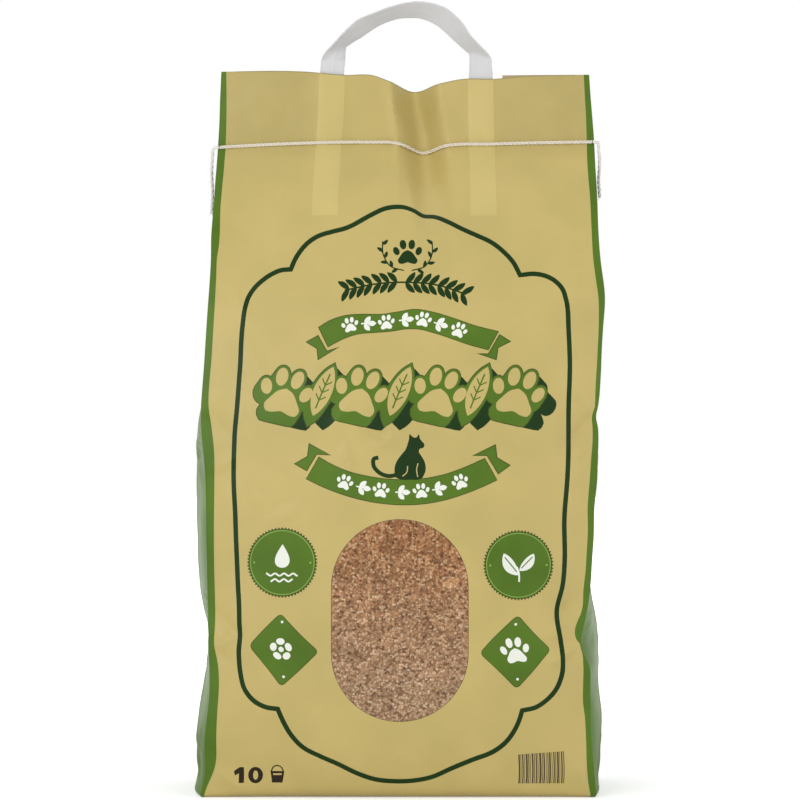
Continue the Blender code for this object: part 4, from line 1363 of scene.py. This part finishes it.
def paper_material(name, colour, roughness=0.42, spread=0.04, gleam=0.22, neck=1.0, creased=False):
    """Satin laminated paper: soft mottling of its ink, fine wrinkles and a slightly uneven gloss.

    Above the seam a painted shade darkens the paper's colour down to neck, out from the middle and less in
    the middle itself. Creased paper has slanted creases and hardly gleams near the ground.
    """
    material, nodes, shader = add_material(name, colour, roughness)
    place = nodes.place()
    low, high = tint(colour, 1 - spread, -0.004), tint(colour, 1 + spread, 0.004)
    colours = nodes.ramp(nodes.noise(place, 26.0, 4.0, seed=2.0), [(0.35, low), (0.65, high)])
    # Painted shade: above the seam the paper's colour is darkened towards neck, less near the middle.
    if neck < 1:
        apart = nodes.number("ABSOLUTE", nodes.axis(place, "X"))
        neck_shade = nodes.ranged(apart, 0.030, 0.068, 1.0 - 0.2 * (1.0 - neck), neck)
        up = nodes.axis(place, "Z")
        level = nodes.ranged(up, SEAM_HEIGHT - 0.012, SEAM_HEIGHT + 0.004, 1.0, neck_shade)
        colours = nodes.scaled(colours, level)
    nodes.put(shader["Base Color"], colours)
    gloss = nodes.noise(place, 60.0, 3.0, seed=5.0)
    nodes.put(shader["Roughness"], nodes.ranged(gloss, 0.0, 1.0, roughness - 0.07, roughness + 0.07))
    wrinkle, fibre = nodes.noise(place, 85.0, 5.0, seed=9.0), nodes.noise(place, 900.0, 2.0, seed=1.0)
    relief = nodes.number("MULTIPLY_ADD", fibre, 0.05, wrinkle)
    shader["Specular IOR Level"].default_value = gleam
    if creased:
        relief = nodes.number("ADD", relief, slanted_creases(nodes, place))
        shine = nodes.ranged(nodes.axis(place, "Z"), 0.030, 0.075, 0.04, gleam)
        nodes.put(shader["Specular IOR Level"], shine)
    nodes.put(shader["Normal"], nodes.bump(relief, 0.35, 0.0006))
    return material


def grain_material():
    """Printed litter: small crumbs in reddish, straw and brown tones, greyer lower down."""
    material, nodes, shader = add_material("printed_grain", (0.33, 0.20, 0.11), 0.42)
    place = nodes.place()
    crumbs = nodes.add("TexVoronoi", {"Vector": place, "Scale": 720.0}).outputs
    tone = nodes.add("SeparateColor", {"Color": crumbs["Color"]}).outputs["Red"]
    blend = nodes.add("Mix", {
        "Factor": nodes.ranged(nodes.axis(place, "Z"), 0.070, 0.165, 0.0, 1.0),
        6: nodes.ramp(tone, LOW_CRUMBS),
        7: nodes.ramp(tone, HIGH_CRUMBS),
    }, data_type="RGBA").outputs[2]
    shade = nodes.ranged(crumbs["Distance"], 0.0, 0.75, 1.04, 0.54)
    patch = nodes.ranged(nodes.noise(place, 95.0, 4.0, seed=3.0), 0.3, 0.7, 0.80, 1.20)
    nodes.put(shader["Base Color"], nodes.scaled(blend, nodes.number("MULTIPLY", shade, patch)))
    shader["Specular IOR Level"].default_value = 0.22
    return material


def strap_material():
    """Matt woven-look plastic tape with faint streaks along its length."""
    material, nodes, shader = add_material("strap_plastic", (0.66, 0.66, 0.655), 0.55)
    place = nodes.add("UVMap", {}, uv_map="OFBake").outputs["UV"]
    streak = nodes.noise(place, 900.0, 3.0, stretch=(1.0, 0.035, 1.0))
    nodes.put(shader["Base Color"], nodes.ramp(streak, [(0.3, STRAP_DARK), (0.7, STRAP_LIGHT)]))
    nodes.put(shader["Normal"], nodes.bump(streak, 0.5, 0.0002))
    return material


def thread_material(name, low, high):
    """Spun cotton: fine slanted fibres."""
    material, nodes, shader = add_material(name, high, 0.85)
    fibre = nodes.noise(nodes.place(), 2200.0, 3.0, stretch=(1.0, 1.0, 0.5))
    nodes.put(shader["Base Color"], nodes.ramp(fibre, [(0.3, low), (0.7, high)]))
    nodes.put(shader["Normal"], nodes.bump(fibre, 0.7, 0.0002))
    shader["Sheen Weight"].default_value = 0.3
    return material


def neck_middle(x, height):
    """A place in the middle plane of the neck's layers."""
    return smooth_panel(-1, np.array([x]), np.array([height]))[0] + (0, NECK_THICKNESS / 2, 0)


def tail_sections(side, heights):
    """Middle points and across directions of one of the strap's tails, inside the neck."""
    middles, widths = [], []
    for height in heights:
        x = tail_x(side, height)
        middles.append(neck_middle(x, height))
        widths.append((neck_middle(x + 0.005, height) - neck_middle(x - 0.005, height)) * (1, 1, 0))
    return np.array(middles), unit(np.array(widths))


def strap_sections():
    """Middle points and across directions along the whole strap, from its left tail to its right one."""
    heights = np.linspace(SEAM_HEIGHT - STRAP_TAIL, HEIGHT, 26)
    left, right = tail_sections(-1, heights), tail_sections(1, heights[::-1])
    outer, inner = np.array(LOOP_EDGES, float).transpose(1, 0, 2) * MM
    along = run((outer + inner) / 2)
    outer, inner = (threaded(along, edge, np.linspace(0, along[-1], 150)) for edge in (outer, inner))
    middle, seen = (outer + inner) / 2, inner - outer
    start, end = neck_middle(strap_x(-1), HEIGHT), neck_middle(strap_x(1), HEIGHT)
    share = np.clip((middle[:, 0] - start[0]) / (end[0] - start[0]), 0, 1)
    y = start[1] + (end[1] - start[1]) * share
    lean = np.sqrt(np.maximum(STRAP_WIDTH**2 - (seen * seen).sum(axis=1), 0.0))
    loop = np.stack([middle[:, 0], y, middle[:, 1]], 1)
    across = unit(np.stack([seen[:, 0], lean, seen[:, 1]], 1))
    return np.concatenate([left[0], loop, right[0]]), np.concatenate([left[1], across, -right[1]])


def build_strap(material):
    """The flat tape, its faces faintly ribbed and its edges rounded."""
    middles, widths = strap_sections()
    normals = unit(np.cross(widths, np.gradient(middles, axis=0)))
    half, thick = STRAP_WIDTH / 2, STRAP_THICKNESS / 2
    s = np.linspace(-1, 1, 13)
    face = np.stack([s * (half - thick), thick * (1 - 0.03 * np.cos(4 * math.pi * s))], 1)
    edge = np.array([(half - 0.3 * thick, 0.7 * thick), (half, 0.0), (half - 0.3 * thick, -0.7 * thick)])
    section = np.concatenate([face, edge, -face, -edge, face[:1]])
    across, out = section[None, :, :1], section[None, :, 1:]
    rings = middles[:, None] + across * widths[:, None] + out * normals[:, None]
    builder = Builder()
    texture = texture_grid(run(section) / MM + 10, run(middles) / MM + 10)
    builder.grid(rings, texture, [0] * (len(section) - 1))
    for end in (0, -1):
        builder.cap(rings[end][:-1], middles[end], place=5.0)
    return builder.finish("strap_tape", [material], 50)


def seam_line(count):
    """Places along the seam on the smooth front paper, and the way out of the paper at each."""
    left = crease_x(-1, SEAM_HEIGHT) + CHAIN_RADIUS
    right = crease_x(1, SEAM_HEIGHT) - CHAIN_RADIUS
    point = smooth_panel(-1, np.linspace(left, right, count), np.full(count, SEAM_HEIGHT))
    step = np.gradient(point, axis=0)
    return point, unit(np.stack([step[:, 1], -step[:, 0], np.zeros(count)], 1))


def stitch_count():
    return round((crease_x(1, SEAM_HEIGHT) - crease_x(-1, SEAM_HEIGHT)) / STITCH)


def build_chain(material):
    """The chain side of the seam: three strands plaited over each other."""
    stitches = stitch_count()
    point, out = seam_line(stitches * 16 + 1)
    turn = np.linspace(0, 2 * math.pi * stitches, len(point))
    builder = Builder()
    for strand in range(3):
        phase = turn + 2 * math.pi * strand / 3
        line = point + out * (CHAIN_RADIUS * (0.80 + 0.36 * np.sin(2 * phase)))[:, None]
        line[:, 2] += CHAIN_RADIUS * 0.52 * np.sin(phase)
        tube(builder, line, CHAIN_RADIUS * 0.38, 8)
    return builder.finish("seam_chain", [material], 60)


def build_needle_thread(material):
    """The needle thread on the back: one short dash a stitch, dipping into the paper at its ends."""
    point, out = seam_line(801)
    stitches = stitch_count()
    rise = np.sin(np.linspace(0, math.pi, 15)) ** 0.35
    proud = NEEDLE_RADIUS * (1.7 * rise - 0.7)
    builder = Builder()
    for k in range(stitches):
        at = (k + np.linspace(0.05, 0.95, 15)) / stitches * (len(point) - 1)
        line = sampled(point, at) + (0, NECK_THICKNESS, 0) - out[np.floor(at).astype(int)] * proud[:, None]
        tube(builder, line, NEEDLE_RADIUS * 0.9, 8)
    return builder.finish("seam_needle_thread", [material], 60)


def tail_route(side):
    """The middle line of a loose thread end, as in the solids."""
    edge = crease_x(side, SEAM_HEIGHT)
    point, out = seam_line(801)
    chain_end = (point + out * (CHAIN_RADIUS + GAP))[0 if side < 0 else -1]
    y, z = smooth_panel(-1, np.array([edge]), np.array([SEAM_HEIGHT]))[0][1:]
    beside = edge + side * (TAIL_RADIUS + TAIL_CLEARANCE)
    curl, length = TAIL_RADIUS / 2, TAIL_LENGTH[side]
    route = np.array([
        chain_end + (side * 2 * GAP, 0, 0),
        (edge + side * GAP, chain_end[1], z - GAP),
        (beside, y, z - TAIL_BEND),
        (beside + side * curl, y + 2 * curl, z - 0.35 * length),
        (beside, y + 2 * curl, z - 0.70 * length),
        (beside + side * curl, y, z - length),
    ])
    along = run(route)
    return threaded(along, route, np.linspace(0, along[-1], 40))


def build_tail(side, name, material):
    """A loose end of the chain: three strands twisted loosely round each other, with stray fibres."""
    route = tail_route(side)
    fine = np.linspace(0, len(route) - 1, 160)
    line = sampled(route, fine)
    along = unit(np.gradient(line, axis=0))
    first = unit(np.cross(along, (0, 1, 0)))
    second = np.cross(along, first)
    radius = TAIL_RADIUS * 0.50
    builder = Builder()
    for strand in range(3):
        turn = (fine * TAIL_TWIST + 2 * math.pi * strand / 3)[:, None]
        tube(builder, line + radius * (np.cos(turn) * first + np.sin(turn) * second), radius, 8)
    for k, (share, reach, droop) in enumerate(FIBRES[side]):
        away = np.array([side * math.cos(2.1 * k), -0.6 - 0.3 * math.sin(k), 0.0]) * reach
        steps = np.array([(0, 0, 0), away * 0.55 - (0, 0, 0.3 * droop), away - (0, 0, droop)]) * MM
        points = line[int(share * (len(line) - 1))] + steps
        fibre = threaded(np.linspace(0, 1, 3), points, np.linspace(0, 1, 8))
        tube(builder, fibre, np.linspace(0.00016, 0.00007, 8), 5)
    return builder.finish(name, [material], 60), route, float(run(route)[-1])


def add_object(name, data):
    thing = bpy.data.objects.new(name, data)
    bpy.context.scene.collection.objects.link(thing)
    return thing


def set_up_stage():
    """A pale floor that glows white where it is seen, a white studio round it, and three lamps."""
    floor = bpy.data.meshes.new("floor")
    far = FLOOR_HALF_WIDTH
    floor.from_pydata([(-far, -far, 0), (far, -far, 0), (far, far, 0), (-far, far, 0)], [], [(0, 1, 2, 3)])
    floor_object = add_object("floor", floor)
    floor_object.location.z = -0.0002
    material, nodes, shader = add_material("pale_floor", (0.90, 0.90, 0.90), 0.9)
    distance = nodes.add("VectorMath", {0: nodes.place()}, operation="LENGTH").outputs["Value"]
    glow = nodes.number("MULTIPLY", nodes.seen(), nodes.ranged(distance, 0.25, 1.6, 0.40, 1.0))
    shader["Emission Color"].default_value = (1, 1, 1, 1)
    nodes.put(shader["Emission Strength"], glow)
    floor.materials.append(material)
    floor_object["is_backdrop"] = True

    world = bpy.data.worlds.new("studio")
    bpy.context.scene.world = world
    nodes = Nodes(world)
    background = world.node_tree.nodes["Background"].inputs
    background["Color"].default_value = (1, 1, 1, 1)
    nodes.put(background["Strength"], nodes.ranged(nodes.seen(), 0.0, 1.0, WORLD_LIGHT, 1.0))

    for name, place, size, power in LAMPS:
        lamp = bpy.data.lights.new(name, "AREA")
        lamp.shape = "RECTANGLE"
        lamp.size, lamp.size_y = size
        lamp.energy = power
        thing = add_object(name, lamp)
        thing.location = place
        aim = Vector((0, 0, LAMP_AIM)) - Vector(place)
        thing.rotation_euler = aim.to_track_quat("-Z", "Y").to_euler()


def set_up_camera():
    camera = bpy.data.cameras.new("camera")
    camera.sensor_width = SENSOR
    camera.lens = SENSOR * CAMERA_DISTANCE / VIEW_WIDTH
    thing = add_object("camera", camera)
    thing.location = (0, -CAMERA_DISTANCE, CAMERA_HEIGHT)
    thing.rotation_euler = (math.pi / 2, 0, 0)
    bpy.context.scene.camera = thing
    bpy.context.scene.view_settings.view_transform = "Standard"


set_up_camera()
set_up_stage()
draw_print()

NAMES = [*INKS, "gusset", "raw"]
MATERIALS = [
    # neck sets how dark the painted shade above the seam makes the paper.
    paper_material("paper_cream", CREAM, neck=0.87),
    paper_material("paper_over_strap", PALE, neck=0.94),
    paper_material("ink_leaf_green", LEAF, 0.40, 0.10, 0.16),
    paper_material("ink_dark_green", DARK, 0.40, 0.10, 0.14),
    paper_material("ink_olive", OLIVE, 0.40, 0.10, 0.16),
    paper_material("ink_light_green", LIGHT, 0.40, 0.06, 0.16),
    paper_material("ink_white", WHITE, 0.40, 0.02),
    paper_material("ink_black", BLACK, 0.42, 0.10, 0.14),
    paper_material("ink_brown", BARS, 0.42, 0.10, 0.16),
    # The cut edge's line, partly painted shade.
    paper_material("paper_cut_edge_and_shade", CUT_EDGE_AND_SHADE, 0.6, 0.10, 0.16),
    grain_material(),
    paper_material("gusset_green", GUSSET_GREEN, 0.42, 0.10, 0.22, creased=True),
    paper_material("raw_paper", RAW, 0.75, 0.08, 0.2),
]
sack = build_sack(MATERIALS, NAMES)
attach(sack, "root")
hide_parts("sack")

strap = build_strap(strap_material())
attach(strap, "root")
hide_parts("carry_strap")

cotton = thread_material("cotton_thread", (0.66, 0.595, 0.485), (0.82, 0.765, 0.660))
loose_cotton = thread_material("cotton_loose_end", (0.72, 0.695, 0.660), (0.88, 0.865, 0.835))
chain = build_chain(cotton)
needle = build_needle_thread(cotton)
for piece, node in ((chain, "seam_chain_front"), (needle, "seam_thread_back")):
    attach(piece, "root")
    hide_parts(node)
for side, node in ((-1, "seam_tail_left"), (1, "seam_tail_right")):
    piece, route, length = build_tail(side, node.replace("seam", "thread"), loose_cotton)
    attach(piece, "root")
    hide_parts(node)
    tuple(route[0])
    [tuple(p) for p in route]

boxes = {"cad": CAD_BOX, "visual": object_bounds()}
{name: [list(map(float, corner)) for corner in box] for name, box in boxes.items()}
